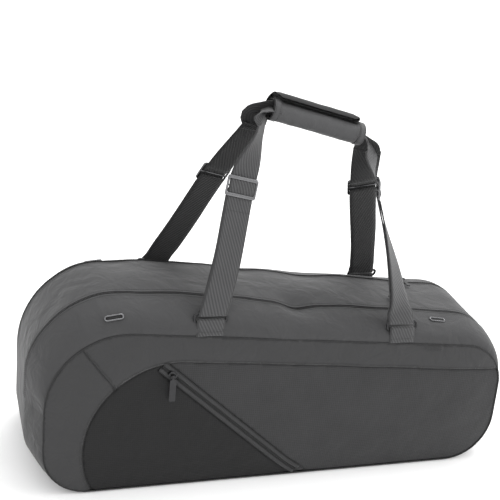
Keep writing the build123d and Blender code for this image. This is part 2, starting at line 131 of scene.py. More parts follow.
# --- Outlines ---
def fillet(before, corner, after, radius, steps):
    """The arc of a rounded corner, from the side of the point before it to the side of the one after."""
    before, corner, after = vec(*before), vec(*corner), vec(*after)
    u, w = unit(before - corner), unit(after - corner)
    half = np.arccos(np.clip(u @ w, -1, 1)) / 2
    centre = corner + unit(u + w) * radius / sin(half)
    start = corner + u * radius / tan(half) - centre
    turn = (pi - 2 * half) * (1 if u[0] * w[1] - u[1] * w[0] < 0 else -1)
    angles = np.linspace(0, turn, steps + 1)
    x = start[0] * np.cos(angles) - start[1] * np.sin(angles)
    y = start[0] * np.sin(angles) + start[1] * np.cos(angles)
    return np.stack([x, y], 1) + centre


arc_steps = {0: 14, 1: 14, 2: 18, 3: 26}
span_steps = {"bottom": 74, "right_low": 6, "right_high": 5, "top": 84, "left_high": 5, "left_low": 6}
WHOLE = ["bottom", "arc1", "right_low", "right_high", "arc2", "top", "arc3", "left_high", "left_low", "arc0"]
UNDER = ["left_low", "arc0", "bottom", "arc1", "right_low"]
OVER = ["right_high", "arc2", "top", "arc3", "left_high"]


def outline_spans(corners, radii, inset):
    """A rounded outline cut into named spans, walked from the bottom round to the left."""
    (left, low), (right, _), (_, high_right), (_, high_left) = corners
    left, right, low = left + inset, right - inset, low + inset
    points = [(left, low), (right, low), (right, high_right - inset), (left, high_left - inset)]
    arcs = []
    for i in range(4):
        arcs.append(fillet(points[i - 1], points[i], points[(i + 1) % 4], radii[i] - inset, arc_steps[i]))
    ends = {
        "bottom": (arcs[0][-1], arcs[1][0]),
        "right_low": (arcs[1][-1], (right, gusset_height)),
        "right_high": ((right, gusset_height), arcs[2][0]),
        "top": (arcs[2][-1], arcs[3][0]),
        "left_high": (arcs[3][-1], (left, gusset_height)),
        "left_low": ((left, gusset_height), arcs[0][0]),
    }
    spans = {f"arc{i}": arc for i, arc in enumerate(arcs)}
    for name, (a, b) in ends.items():
        spans[name] = np.linspace(a, b, span_steps[name] + 1)
    return spans


def walk(spans, names):
    """The named spans joined into one row of points."""
    parts = [spans[names[0]]] + [spans[n][1:] for n in names[1:]]
    return np.concatenate(parts)


seam_spans = outline_spans(seam_corners, seam_radii, seam_inset)
crown_spans = outline_spans(crown_corners, crown_radii, 0.0)
seam_loop = walk(seam_spans, WHOLE)[:-1]


def on_panel(side, flat, out=0.0):
    """Points of a side panel's plane, pushed out by out."""
    x, p = flat[..., 0], flat[..., 1]
    y = -bottom_half_depth + p * sin(lean) - out * cos(lean)
    z = p * cos(lean) + out * sin(lean)
    return np.stack([x, -outside[side] * y, z], -1)


def seam_height(x):
    """Height of the seam along the top of the side panels."""
    (right, right_high), (left, left_high) = seam_corners[2:]
    return left_high - (left_high - right_high) * (x - left) / (right - left)


def at_depth(outline, y):
    """A crown outline's (x, z) points, placed at depth y."""
    return np.stack([outline[:, 0], np.full(len(outline), y), outline[:, 1]], 1)


# --- Softness: how the filled fabric sags and swells ---
# how far each line of the bag's top sinks: (x, depth, spread); a negative depth lifts
sags = {
    "front_zip": [(-232, 4.0, 48), (-28, 3.6, 26), (22, 12.5, 27), (70, 4.0, 28), (143, 3.0, 50)],
    "rear_zip": [(-243, 5.5, 26), (-94, -1.5, 24), (-35, 4.0, 24), (67, 5.0, 46), (250, 2.0, 50)],
    "front_seam": [(3, 5.0, 26), (-215, 1.6, 40), (110, 1.8, 45)],
}
sag_places = {"front_zip": (-54.0, 24.0), "rear_zip": (56.0, 34.0), "front_seam": (-98.0, 15.0)}


def settle(points):
    """Moves points of the bag's skin as sewn fabric settles: the open mouth dips, the crown sags a little."""
    x, y, z = points[..., 0], points[..., 1], points[..., 2]
    top = ease((z - 150.0) / 70.0)
    drop = 0.0 * x
    for line, dips in sags.items():
        middle, spread = sag_places[line]
        depth = sum(d * hump(x, at, wide) for at, d, wide in dips)
        drop = drop + depth * hump(y, middle, spread)
    stretched = points * vec(0.45, 1.0, 1.0)  # creases run along the bag
    ripple = 1.3 * wander(points, 75.0, 1) + wander(stretched, 24.0, 2) + 0.35 * wander(stretched, 9.0, 6)
    moved = points.copy()
    moved[..., 2] = z - top * (drop - ripple)
    # the end seams are pulled in where the gusset joins them
    pinch = hump(z, gusset_height + 4.0, 20.0) * hump(np.abs(y), 100.0, 30.0)
    end = ease((np.abs(x) - 300.0) / 50.0)
    moved[..., 0] = x + end * (1.2 * wander(points, 60.0, 3) - 2.2 * np.sign(x) * pinch)
    moved[..., 2] = np.maximum(moved[..., 2], 0.0)
    return moved


# --- Mesh helpers ---
def make_piece(name, points, faces, material, body, slot, normals=None, weave=None):
    """A smooth mesh piece from points in millimetres. body None leaves it unattached."""
    mesh = bpy.data.meshes.new(name)
    mesh.from_pydata([tuple(p) for p in np.asarray(points) * METRE], [], [tuple(f) for f in faces])
    mesh.polygons.foreach_set("use_smooth", [True] * len(mesh.polygons))
    if weave is not None:
        layer = mesh.uv_layers.new(name="weave")
        index = np.zeros(len(mesh.loops), np.int32)
        mesh.loops.foreach_get("vertex_index", index)
        layer.data.foreach_set("uv", (np.asarray(weave, np.float32) * METRE)[index].ravel())
    mesh.validate()
    if normals is not None:
        mesh.normals_split_custom_set_from_vertices([tuple(n) for n in normals])
    mesh.materials.append(material)
    piece = bpy.data.objects.new(name, mesh)
    bpy.context.scene.collection.objects.link(piece)
    if body:
        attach(piece, body)
    return piece


def grid_normals(grid):
    """Outward normals of a grid of points, by its rows and columns."""
    along = np.gradient(grid, axis=0)
    across = np.gradient(grid, axis=1)
    return unit(np.cross(along, across))


def normals_from(grid, centre):
    """Normals of a grid of points that look away from a centre."""
    normals = grid_normals(grid)
    return normals * np.sign(np.sum(normals * (grid - centre)))


def slab(name, grid, normals, thickness, material, body, slot, round_edge=0.35):
    """A sheet of fabric with a real thickness: grid is its outer face, and its edges are rounded."""
    rows, columns = grid.shape[:2]
    outer = grid.reshape(-1, 3)
    up = normals.reshape(-1, 3)
    inner = outer - up * thickness
    count = rows * columns
    cell = np.arange(count).reshape(rows, columns)
    a, b, c, d = cell[:-1, :-1], cell[1:, :-1], cell[1:, 1:], cell[:-1, 1:]
    faces = np.stack([a, b, c, d], -1).reshape(-1, 4)
    back = np.stack([d, c, b, a], -1).reshape(-1, 4) + count
    edge = np.concatenate([cell[0, :-1], cell[:-1, -1], cell[-1, :0:-1], cell[:0:-1, 0]])
    middle = (outer[edge] + inner[edge]) / 2
    neighbour = np.concatenate([cell[1, :-1], cell[:-1, -2], cell[-2, :0:-1], cell[:0:-1, 1]])
    away = unit(outer[edge] - outer[neighbour])
    middle = middle + away * thickness * round_edge
    bead = np.arange(len(edge)) + 2 * count
    after = np.roll(np.arange(len(edge)), -1)
    wall_a = np.stack([edge[after], edge, bead, bead[after]], -1)
    wall_b = np.stack([bead[after], bead, edge + count, edge[after] + count], -1)
    points = np.concatenate([outer, inner, middle])
    all_normals = np.concatenate([up, -up, away])
    all_faces = np.concatenate([faces, back, wall_a, wall_b])
    return make_piece(name, points, all_faces, material, body, slot, normals=all_normals)


def smooth_path(points, step):
    """A Catmull-Rom curve through points, resampled about every step."""
    points = np.asarray(points, float)
    padded = np.concatenate([[2 * points[0] - points[1]], points, [2 * points[-1] - points[-2]]])
    result = []
    for i in range(len(points) - 1):
        p0, p1, p2, p3 = padded[i : i + 4]
        count = max(2, ceil(np.linalg.norm(p2 - p1) / step))
        bend, twist = 2 * p0 - 5 * p1 + 4 * p2 - p3, 3 * p1 - p0 - 3 * p2 + p3
        for t in np.linspace(0, 1, count, endpoint=False):
            result.append(0.5 * (2 * p1 + (p2 - p0) * t + bend * t * t + twist * t**3))
    result.append(points[-1])
    return np.array(result)


def ribbon(name, path, facing, width, thickness, material, body, slot, across=None):
    """Flat webbing along path. facing is the way its outer face looks, at each point."""
    path = np.asarray(path, float)
    count = len(path)
    tangent = unit(np.gradient(path, axis=0))
    facing = np.broadcast_to(np.asarray(facing, float), path.shape)
    if across is None:
        across = unit(np.cross(tangent, facing))
    across = unit(np.broadcast_to(across, path.shape))
    normal = unit(np.cross(across, tangent))
    widths = np.broadcast_to(np.asarray(width, float), (count,))
    r = thickness / 2
    section = [(s, 1.0) for s in np.linspace(-1, 1, 7)] + [(1.0, 0.0)]
    section += [(s, -1.0) for s in np.linspace(1, -1, 7)] + [(-1.0, 0.0)]
    rings, weave = [], []
    lengths = run_lengths(path)
    for s, h in section:
        reach = widths[:, None] / 2 * s - (0 if h == 0 else r * 0.6 * (abs(s) == 1) * s)
        rings.append(path + across * reach + normal * (r * h * (0.8 if abs(s) == 1 else 1.0)))
        weave.append(np.stack([widths * s / 2, lengths], -1))
    grid = np.stack(rings, 1)
    around = grid.shape[1]
    cell = np.arange(count * around).reshape(count, around)
    turned = np.roll(cell, -1, 1)
    faces = np.stack([cell[:-1], turned[:-1], turned[1:], cell[1:]], -1).reshape(-1, 4).tolist()
    faces.append(cell[0][::-1].tolist())
    faces.append(cell[-1].tolist())
    uv = np.stack(weave, 1).reshape(-1, 2)
    return make_piece(name, grid.reshape(-1, 3), faces, material, body, slot, weave=uv)


def tube_mesh(path, radius, sides, closed):
    """Points and faces of a round tube along a path."""
    path = np.asarray(path, float)
    count = len(path)
    if closed:
        tangent = unit(np.roll(path, -1, 0) - np.roll(path, 1, 0))
    else:
        tangent = unit(np.gradient(path, axis=0))
    side = np.cross(tangent[0], vec(0.31, 0.52, 0.79))
    frames = []
    for t in tangent:
        side = unit(side - t * (side @ t))
        frames.append((side, np.cross(t, side)))
    radii = np.broadcast_to(np.asarray(radius, float), (count,))
    rings = []
    for k in range(sides):
        a = 2 * pi * k / sides
        rings.append([p + (u * cos(a) + w * sin(a)) * r for p, (u, w), r in zip(path, frames, radii)])
    grid = np.array(rings).transpose(1, 0, 2)
    cell = np.arange(count * sides).reshape(count, sides)
    after = np.roll(cell, -1, 1)
    if closed:  # the frame may have turned along the way, so the last ring joins the nearest corner
        twist = int(np.argmin(np.linalg.norm(grid[0] - grid[-1][0], axis=1)))
        first = np.roll(cell[0], -twist)
        rows = np.concatenate([cell, [first]])
        turned = np.roll(rows, -1, 1)
        faces = np.stack([rows[:-1], turned[:-1], turned[1:], rows[1:]], -1).reshape(-1, 4).tolist()
    else:
        faces = np.stack([cell[:-1], after[:-1], after[1:], cell[1:]], -1).reshape(-1, 4).tolist()
        faces += [cell[0][::-1].tolist(), cell[-1].tolist()]
    return grid.reshape(-1, 3), faces


def tube(name, path, radius, material, body, slot, sides=8, closed=False):
    """tube_mesh() as a piece."""
    points, faces = tube_mesh(path, radius, sides, closed)
    return make_piece(name, points, faces, material, body, slot)


def gather(meshes):
    """Several (points, faces) meshes as one."""
    points, faces, base = [], [], 0
    for p, f in meshes:
        points.append(p)
        faces += [[i + base for i in face] for face in f]
        base += len(p)
    return np.concatenate(points), faces


def even(path, spacing):
    """Points along a path every spacing, with the directions there."""
    path = np.asarray(path, float)
    lengths = run_lengths(path)
    at = np.arange(spacing / 2, lengths[-1], spacing)
    points = np.stack([np.interp(at, lengths, path[:, i]) for i in range(3)], 1)
    ahead = np.stack([np.interp(at + spacing / 4, lengths, path[:, i]) for i in range(3)], 1)
    behind = np.stack([np.interp(at - spacing / 4, lengths, path[:, i]) for i in range(3)], 1)
    return points, unit(ahead - behind)


def stitch_meshes(path, pitch=3.4, length=2.3, radius=0.36):
    """A row of thread stitches along a path."""
    points, ways = even(path, pitch)
    found = []
    for p, d in zip(points, ways):
        run = np.array([p + d * (t * length / 2) for t in (-1.0, -0.55, 0.55, 1.0)])
        found.append(tube_mesh(run, np.array([0.35, 1.0, 1.0, 0.35]) * radius, 5, False))
    return found


def stitching(name, paths, body, pitch=3.4, length=2.3, radius=0.36):
    """Rows of thread stitches as one piece."""
    meshes = [m for path in paths for m in stitch_meshes(path, pitch, length, radius)]
    points, faces = gather(meshes)
    return make_piece(name, points, faces, thread, body, "webbing")


# --- Materials ---
class Graph:
    """Adds nodes to a material and links them in one call."""

    def __init__(self, name):
        self.material = bpy.data.materials.new(name)
        self.material.use_nodes = True
        self.tree = self.material.node_tree
        self.shader = self.tree.nodes["Principled BSDF"]

    def add(self, kind, settings=None, **inputs):
        node = self.tree.nodes.new(kind)
        for key, value in (settings or {}).items():
            setattr(node, key, value)
        for key, value in inputs.items():
            self.put(node.inputs[int(key[1:]) if key[0] == "i" and key[1:].isdigit() else key], value)
        return node

    def put(self, socket, value):
        if isinstance(value, bpy.types.NodeSocket):
            self.tree.links.new(value, socket)
        else:
            socket.default_value = value

    def math(self, operation, a, b=0.0):
        return self.add("ShaderNodeMath", {"operation": operation}, i0=a, i1=b).outputs[0]

    def weigh(self, *terms):
        """The sum of (value, weight) pairs."""
        parts = [self.math("MULTIPLY", value, weight) for value, weight in terms]
        total = parts[0]
        for part in parts[1:]:
            total = self.math("ADD", total, part)
        return total

    def rescale(self, value, scale, base):
        """value times scale, plus base."""
        return self.math("ADD", self.math("MULTIPLY", value, scale), base)

    def mix(self, factor, a, b):
        node = self.add("ShaderNodeMix", {"data_type": "RGBA"})
        self.put(node.inputs[0], factor)
        self.put(node.inputs[6], a)
        self.put(node.inputs[7], b)
        return node.outputs[2]

    def place(self, uv=False):
        """The object's own coordinates in millimetres, or the ribbon's width and length."""
        source = self.add("ShaderNodeTexCoord").outputs["UV" if uv else "Object"]
        scaled = self.add("ShaderNodeVectorMath", {"operation": "SCALE"}, i0=source, Scale=1000.0)
        split = self.add("ShaderNodeSeparateXYZ", None, Vector=scaled.outputs[0])
        return scaled.outputs[0], split.outputs

    def grain(self, place, size, detail=2.0):
        """Noise between 0 and 1 with features of about size millimetres."""
        node = self.add("ShaderNodeTexNoise", None, Vector=place, Scale=1.0 / size, Detail=detail)
        return node.outputs["Fac"]

    def threads(self, value, pitch):
        """A rounded ridge that repeats every pitch millimetres, from 0 to 1."""
        turned = self.math("MULTIPLY", value, 2 * pi / pitch)
        return self.rescale(self.math("SINE", turned), 0.5, 0.5)

    def lines(self, value, pitch, share):
        """Thin lines every pitch millimetres: 1 on the line, 0 between."""
        ridge = self.threads(value, pitch)
        ramp = self.add("ShaderNodeMapRange", None, i0=ridge, i1=1.0 - share, i2=1.0)
        return ramp.outputs[0]

    def bump(self, height, distance, strength=1.0, normal=None):
        node = self.add("ShaderNodeBump", None, Height=height, Distance=distance * METRE, Strength=strength)
        if normal is not None:
            self.put(node.inputs["Normal"], normal)
        return node.outputs["Normal"]

    def finish(self, **values):
        for key, value in values.items():
            self.put(self.shader.inputs[key.replace("_", " ")], value)
        return self.material


def grey(value):
    """A grey that leans a little to blue."""
    return (value, value, value * 1.03, 1.0)


def plain_fabric(name, shade, roughness=0.72, sheen=0.12, weave=0.9):
    """Coated woven fabric: a fine plain weave, faint cloudiness, dust and rubbed places."""
    g = Graph(name)
    place, (x, y, z) = g.place()
    upward = g.rescale(y, 0.62, z)
    warp, weft = g.threads(x, weave), g.threads(upward, weave)
    cloth = g.math("MULTIPLY", warp, weft)
    cloud, fine = g.grain(place, 55.0, 3.0), g.grain(place, 2.2, 3.0)
    tone = g.weigh((cloud, 0.26), (fine, 0.16), (cloth, 0.16))
    colour = g.mix(tone, grey(shade * 0.74), grey(shade * 1.5))
    normal = g.bump(g.weigh((cloth, 0.6), (fine, 0.5)), 0.16, 0.9)
    crease = g.add("ShaderNodeTexNoise", None, Vector=place, Scale=1.0 / 34.0, Detail=3.0, Distortion=0.8)
    normal = g.bump(crease.outputs["Fac"], 4.8, 0.8, normal)
    g.finish(Base_Color=colour, Roughness=g.rescale(fine, 0.16, roughness - 0.08), Normal=normal)
    return g.finish(Sheen_Weight=sheen, Sheen_Roughness=0.45, Specular_IOR_Level=0.32)


def ripstop_fabric(name, shade, cell=3.1):
    """Ripstop: a raised grid of doubled threads over a fine weave."""
    g = Graph(name)
    place, (x, _, z) = g.place()
    wobble = g.math("MULTIPLY", g.grain(place, 30.0), 0.8)
    across, upward = g.math("ADD", x, wobble), g.math("ADD", z, wobble)
    grid = g.math("MAXIMUM", g.lines(across, cell, 0.28), g.lines(upward, cell, 0.28))
    weave = g.math("MULTIPLY", g.threads(x, 0.75), g.threads(z, 0.75))
    cloud, fine = g.grain(place, 45.0, 3.0), g.grain(place, 1.8, 2.0)
    tone = g.weigh((grid, 0.30), (weave, 0.14), (cloud, 0.28))
    colour = g.mix(tone, grey(shade * 0.6), grey(shade * 1.9))
    normal = g.bump(g.weigh((grid, 1.0), (weave, 0.3)), 0.22, 0.8)
    normal = g.bump(g.grain(place, 26.0, 3.0), 4.5, 0.7, normal)
    g.finish(Base_Color=colour, Roughness=g.rescale(fine, 0.18, 0.58), Normal=normal)
    return g.finish(Sheen_Weight=0.06, Sheen_Roughness=0.4, Specular_IOR_Level=0.26)


def webbing_fabric(name, shade):
    """Twill webbing: slanted ribs, with a smoother selvedge along both edges."""
    g = Graph(name)
    _, (u, v, _) = g.place(uv=True)
    slanted = g.rescale(u, 1.9, v)
    ribs = g.threads(slanted, 9.0)
    yarns = g.threads(v, 1.1)
    edge = g.add("ShaderNodeMapRange", None, i0=g.math("ABSOLUTE", u), i1=18.2, i2=19.6).outputs[0]
    body, _ = g.place()
    fine, cloud = g.grain(body, 1.1, 3.0), g.grain(body, 30.0)
    twill = g.weigh((ribs, 0.75), (yarns, 0.25))
    height = g.math("MULTIPLY", twill, g.math("SUBTRACT", 1.0, edge))
    height = g.math("ADD", height, g.math("MULTIPLY", fine, 0.35))
    colour = g.mix(g.weigh((height, 0.55), (cloud, 0.12)), grey(shade * 0.35), grey(shade * 2.1))
    g.finish(Base_Color=colour, Roughness=g.rescale(fine, 0.2, 0.62), Normal=g.bump(height, 0.5))
    return g.finish(Sheen_Weight=0.16, Sheen_Roughness=0.5, Specular_IOR_Level=0.3)


def satin_fabric(name):
    """Satin lining, with soft creases."""
    g = Graph(name)
    place, (x, _, z) = g.place()
    crease, fine = g.grain(place, 18.0, 4.0), g.grain(place, 1.4, 2.0)
    colour = g.mix(g.weigh((crease, 0.6), (fine, 0.2)), (0.20, 0.25, 0.32, 1.0), (0.42, 0.49, 0.58, 1.0))
    normal = g.bump(crease, 2.2, 0.6)
    normal = g.bump(g.threads(g.math("ADD", x, z), 0.7), 0.05, 0.4, normal)
    g.finish(Base_Color=colour, Roughness=g.rescale(fine, 0.15, 0.36), Normal=normal)
    return g.finish(Sheen_Weight=0.2, Sheen_Roughness=0.35)


def gunmetal(name, shade, roughness=0.24):
    """Plated die-cast metal: polished, with fine scratches and duller worn corners."""
    g = Graph(name)
    place, _ = g.place()
    scratches = g.add("ShaderNodeTexNoise", None, Vector=place, Scale=0.9, Detail=6.0, Distortion=1.6)
    scratch = scratches.outputs["Fac"]
    pits, cloud = g.grain(place, 0.5, 2.0), g.grain(place, 9.0, 2.0)
    colour = g.mix(g.weigh((cloud, 0.5), (pits, 0.2)), grey(shade * 0.7), grey(shade * 1.5))
    rough = g.rescale(scratch, 0.22, roughness - 0.08)
    g.finish(Base_Color=colour, Roughness=rough, Normal=g.bump(pits, 0.03, 0.5))
    return g.finish(Metallic=1.0)


def dark_plastic(name, shade, roughness=0.5):
    """Nylon coil or thread: fine drawn grain."""
    g = Graph(name)
    place, _ = g.place()
    fine, cloud = g.grain(place, 0.8, 3.0), g.grain(place, 12.0)
    colour = g.mix(g.weigh((fine, 0.5), (cloud, 0.3)), grey(shade * 0.6), grey(shade * 1.6))
    g.finish(Base_Color=colour, Roughness=g.rescale(fine, 0.2, roughness - 0.1))
    return g.finish(Normal=g.bump(fine, 0.08, 0.6), Specular_IOR_Level=0.4)


band_fabric = plain_fabric("coated_fabric", 0.040)
panel_fabric = plain_fabric("panel_fabric", 0.031, roughness=0.70)
wrap_fabric = plain_fabric("wrap_fabric", 0.055, roughness=0.6, sheen=0.16)
# the wrap flap's fabric, made far darker than the sleeve's: painted shade on the flap
painted_shade_flap_fabric = plain_fabric("wrap_painted_shade_flap_fabric", 0.011, roughness=0.8, sheen=0.03)
ripstop_right = ripstop_fabric("ripstop", 0.028)
ripstop_left = ripstop_fabric("ripstop_dark", 0.008)
webbing = webbing_fabric("twill_webbing", 0.044)
dark_webbing = webbing_fabric("dark_webbing", 0.012)
lining = satin_fabric("satin_lining")
metal = gunmetal("gunmetal", 0.10)
black_metal = gunmetal("black_nickel", 0.045, 0.3)
bright_metal = gunmetal("polished_gunmetal", 0.17, 0.24)
coil_nylon = dark_plastic("coil_nylon", 0.018, 0.42)
tape_cloth = plain_fabric("zipper_tape", 0.03, roughness=0.85, weave=0.6)
thread = dark_plastic("thread", 0.022, 0.6)
piping_fabric = plain_fabric("piping", 0.018, roughness=0.65, sheen=0.05)
foam = dark_plastic("foam", 0.05, 0.9)
# the hook tape's dark nylon; it also fills the slot grommets' holes, where its dark colour is painted shade
hook_nylon_and_slot_shade = dark_plastic("hook_tape", 0.012, 0.8)

# --- The bag's skin: bands, centre band, bottom, zippers ---
band_steps = 16
tape_share = 3.6  # width of zipper tape that shows beside the coil


def band_grid(side, names):
    """Outer face of the fabric between a side panel's seam and the zipper tape, with its normals."""
    foot = on_panel(side, walk(seam_spans, names))
    crown = walk(crown_spans, names)
    head = at_depth(crown, outside[side] * (crown_half + tape_share))
    chord = head - foot
    along = np.gradient(foot + head, axis=0)
    normal = unit(np.cross(along, chord)) * -outside[side]
    centre = vec(0.0, 0.0, 110.0)
    facing = np.sign(np.sum(normal * ((foot + head) / 2 - centre), 1, keepdims=True))
    normal = normal * facing
    size = np.linalg.norm(chord, axis=1, keepdims=True)
    level = np.abs(unit(along)[:, 0:1]) * ease((foot[:, 2:3] - 60.0) / 90.0)
    lift = 0.035 + 0.155 * level
    p1 = foot + chord * 0.16 + normal * size * lift * (1.5 + 0.3 * level)
    p2 = foot + chord * 0.66 + normal * size * lift * 0.75
    rows = []
    for t in np.linspace(0, 1, band_steps + 1) ** 1.15:
        rows.append(foot * (1 - t) ** 3 + p1 * 3 * t * (1 - t) ** 2 + p2 * 3 * t * t * (1 - t) + head * t**3)
    grid = settle(np.stack(rows, 1))
    normals = grid_normals(grid)
    turn = np.sign(np.sum(normals * normal[:, None, :]))
    return grid, normals * turn


def across_grid(names, half, swell, steps):
    """Outer face of the skin between the two zippers, out to half each side, with its normals."""
    crown = walk(crown_spans, names)
    along = np.gradient(crown, axis=0)
    away = unit(np.stack([along[:, 1], np.zeros(len(crown)), -along[:, 0]], 1))
    rows = []
    for y in np.linspace(-half, half, steps + 1):
        base = at_depth(crown, y)
        level = ease(np.abs(unit(along)[:, 0:1]) * 3.0 - 2.0)
        rows.append(base + away * level * swell * (1 - (y / crown_half) ** 2))
    grid = settle(np.stack(rows, 1))
    normals = grid_normals(grid)
    return grid, normals * np.sign(np.sum(normals * away[:, None, :]))


def mirrored(grid, normals, flip):
    """Rows in the order that makes faces look outward."""
    return (grid[::-1], normals[::-1]) if flip else (grid, normals)


def outward_slab(name, grid, normals, *rest, **more):
    """slab(), with its rows turned so that its faces look along the normals."""
    natural = grid_normals(grid)
    return slab(name, *mirrored(grid, normals, np.sum(natural * normals) < 0), *rest, **more)


flap_middle = {side: sum(ends) / 2 for side, ends in flap_ends.items()}
thickness = 2.6


def over_parts(side, grid):
    """The row ranges of the right half and the left half of an upper band."""
    split = int(np.argmin(np.abs(grid[:, -1, 0] - flap_middle[side]) + 1000 * (grid[:, -1, 2] < 150)))
    return {"right": slice(0, split + 1), "left": slice(split, len(grid))}


def fold_along(piece):
    """Bakes the piece's placement into its mesh; the piece stays on no body."""
    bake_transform(piece)


def tape_strip(name, outer, inner, up, body):
    """Zipper tape from the outer line to the inner one; up is the way that it faces."""
    strip = np.stack([outer + (inner - outer) * t for t in np.linspace(0, 1, 4)], 1)
    return outward_slab(name, strip, np.repeat(up[:, None], 4, 1), 0.7, tape_cloth, body, "zipper")


def mouth_teeth(name, path, way, body):
    """Zipper teeth along path: short bars that point along way."""
    centres, _ = even(path, 1.9)
    radii = np.array([0.5, 0.78, 0.6])
    teeth = [tube_mesh(np.array([c - way, c, c + way]), radii, 6, False) for c in centres]
    return make_piece(name, *gather(teeth), coil_nylon, body, "zipper")


for side in ("front", "rear"):
    grid, normals = band_grid(side, OVER)
    crown = walk(crown_spans, OVER)
    outward_y = outside[side] * vec(0, 1.0, 0)
    coil_line = settle(at_depth(crown, outside[side] * crown_half))
    coil_up = normals[:, -1]
    inner_line = settle(at_depth(crown, outside[side] * (crown_half - tape_share)))
    for half, rows in over_parts(side, grid).items():
        outer_face, up = grid[rows], normals[rows]
        band = outward_slab(f"{side}_band_fabric_{half}", outer_face, up, thickness, band_fabric, None,
                            "band_fabric")
        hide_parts(f"{side}_band_{half}", f"{side}_flap")
        inner_face = outer_face - up * (thickness + 0.5)
        under = outward_slab(f"{side}_band_lining_{half}", inner_face, up, 1.0, lining, None, "lining")
        # zipper tape, coil and stitching on the band's side of the mouth
        line, line_up = coil_line[rows], coil_up[rows]
        tape = tape_strip(f"{side}_zip_tape_{half}", outer_face[:, -1] - up[:, -1] * 1.9 + outward_y * 2.0,
                          line - line_up * 2.2 + outward_y * 0.5, line_up, None)
        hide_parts(f"{side}_flap_tape", "outer_tapes")
        coil = mouth_teeth(f"{side}_coil_{half}", line - line_up * 0.9 + outward_y * 0.95, outward_y, None)
        row = outer_face[:, -2] * 0.55 + outer_face[:, -1] * 0.45 + up[:, -1] * 0.15
        seam_row = stitching(f"{side}_zip_stitches_{half}", [row], None)
        for piece in (band, under, tape, coil, seam_row):
            fold_along(piece)
    tape = tape_strip(f"{side}_crown_tape", inner_line - outward_y * 2.0 - coil_up * 2.0,
                      coil_line - coil_up * 2.2 - outward_y * 0.5, coil_up, "root")
    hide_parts("inner_tapes")
    mouth_teeth(f"{side}_crown_coil", coil_line - coil_up * 0.9 - outward_y * 0.95, -outward_y, "root")

grid, normals = across_grid(OVER, crown_half - tape_share, 2.0, 18)
centre = outward_slab("centre_band_fabric", grid, normals, thickness, band_fabric, "root", "band_fabric")
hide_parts("centre_band", "centre_band_left", "centre_band_right")
outward_slab("centre_band_lining", grid - normals * (thickness + 0.5), normals, 1.0, lining, "root", "lining")
for column, label in ((0, "front"), (-1, "rear")):
    edge = grid[:, column] - normals[:, column] * 0.7
    tube(f"{label}_crown_piping", edge, 0.8, band_fabric, "root", "band_fabric")
    inward = 1 if column == 0 else -2
    row = grid[:, column] * 0.35 + grid[:, inward] * 0.65 + normals[:, inward] * 0.15
    stitching(f"{label}_crown_stitches", [row], "root")

# the bottom, wrapping up both ends
front_part, front_normals = band_grid("front", UNDER)
rear_part, rear_normals = band_grid("rear", UNDER)
middle_part, middle_normals = across_grid(UNDER, crown_half + tape_share, 0.0, 18)
bottom_grid = np.concatenate([front_part[:, :-1], middle_part, rear_part[:, -2::-1]], 1)
bottom_normals = np.concatenate([front_normals[:, :-1], middle_normals, rear_normals[:, -2::-1]], 1)
floor_share = ease(1 - bottom_grid[..., 2:3] / 3.0)
bottom_normals = unit(bottom_normals * (1 - floor_share) + vec(0, 0, -1.0) * floor_share)
bottom = outward_slab("bottom_fabric", bottom_grid, bottom_normals, 3.0, panel_fabric, "root", "panel_fabric")
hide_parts("bottom_panel", "left_end_wrap", "right_end_wrap")

for side in ("front", "rear"):
    loop = on_panel(side, seam_loop, 0.6)
    tube(f"{side}_panel_piping", loop, 1.1, piping_fabric, "root", "band_fabric", closed=True)


# --- Side panels ---
def near(points, line):
    """Distance from each 2-D point to a polyline."""
    a, b = line[:-1], line[1:]
    d = b - a
    t = np.sum((points[:, None] - a) * d, -1) / np.maximum(np.sum(d * d, -1), 1e-9)
    foot = a + d * np.clip(t, 0, 1)[..., None]
    return np.linalg.norm(points[:, None] - foot, axis=-1).min(1)


def within(points, polygon):
    """Which 2-D points lie inside a closed polygon."""
    inside = np.zeros(len(points), bool)
    x, y = points[:, 0], points[:, 1]
    for (x0, y0), (x1, y1) in zip(polygon, np.roll(polygon, -1, 0)):
        crosses = (y0 > y) != (y1 > y)
        at = x0 + (y - y0) * (x1 - x0) / (y1 - y0 if y1 != y0 else 1e-9)
        inside ^= crosses & (x < at)
    return inside


def spaced(line, step):
    """A polyline resampled evenly."""
    lengths = run_lengths(line)
    at = np.linspace(0, lengths[-1], max(2, ceil(lengths[-1] / step)) + 1)
    return np.stack([np.interp(at, lengths, line[:, 0]), np.interp(at, lengths, line[:, 1])], 1)


slant = 1.0 / cos(lean)


def yoke_line(x):
    """Height, in the panel's plane, of the seam under the yoke."""
    return (seam_height(x) - yoke_drop) * slant


yoke_fall = atan2(yoke_line(371.0) - yoke_line(-357.0), 728.0)
arc_centre = vec(pocket_arc_x, yoke_line(pocket_arc_x) - pocket_arc_radius / cos(yoke_fall))
arc_stop = pi - asin((-20.0 - arc_centre[1]) / pocket_arc_radius)
arc_angles = np.linspace(pi / 2 + yoke_fall, arc_stop, 60)
arc_seam = arc_centre + pocket_arc_radius * np.stack([np.cos(arc_angles), np.sin(arc_angles)], 1)
arc_seam = spaced(np.concatenate([arc_seam[::-1], [(391.0, yoke_line(391.0))]]), 6.0)
short_seam = spaced(np.array([(-311.0, 238.0), (-256.0, 168.0)]), 6.0)

# the pocket zipper runs straight, then eases a little towards the bottom seam
zip_way = unit(vec(*zip_end) - vec(*zip_start))
zip_knee = vec(*zip_end) - zip_way * 40.0
zip_turn = atan2(zip_way[1], zip_way[0]) + np.radians(0.6 * np.arange(1, 13))
zip_curve = zip_knee + np.cumsum(4.0 * np.stack([np.cos(zip_turn), np.sin(zip_turn)], 1), 0)
zip_line = spaced(np.concatenate([[vec(*zip_start) - zip_way * 9.0, zip_knee], zip_curve]), 3.0)

closed_seam = np.concatenate([seam_loop, seam_loop[:1]])
belly = {"front": 7.5, "rear": 9.0}


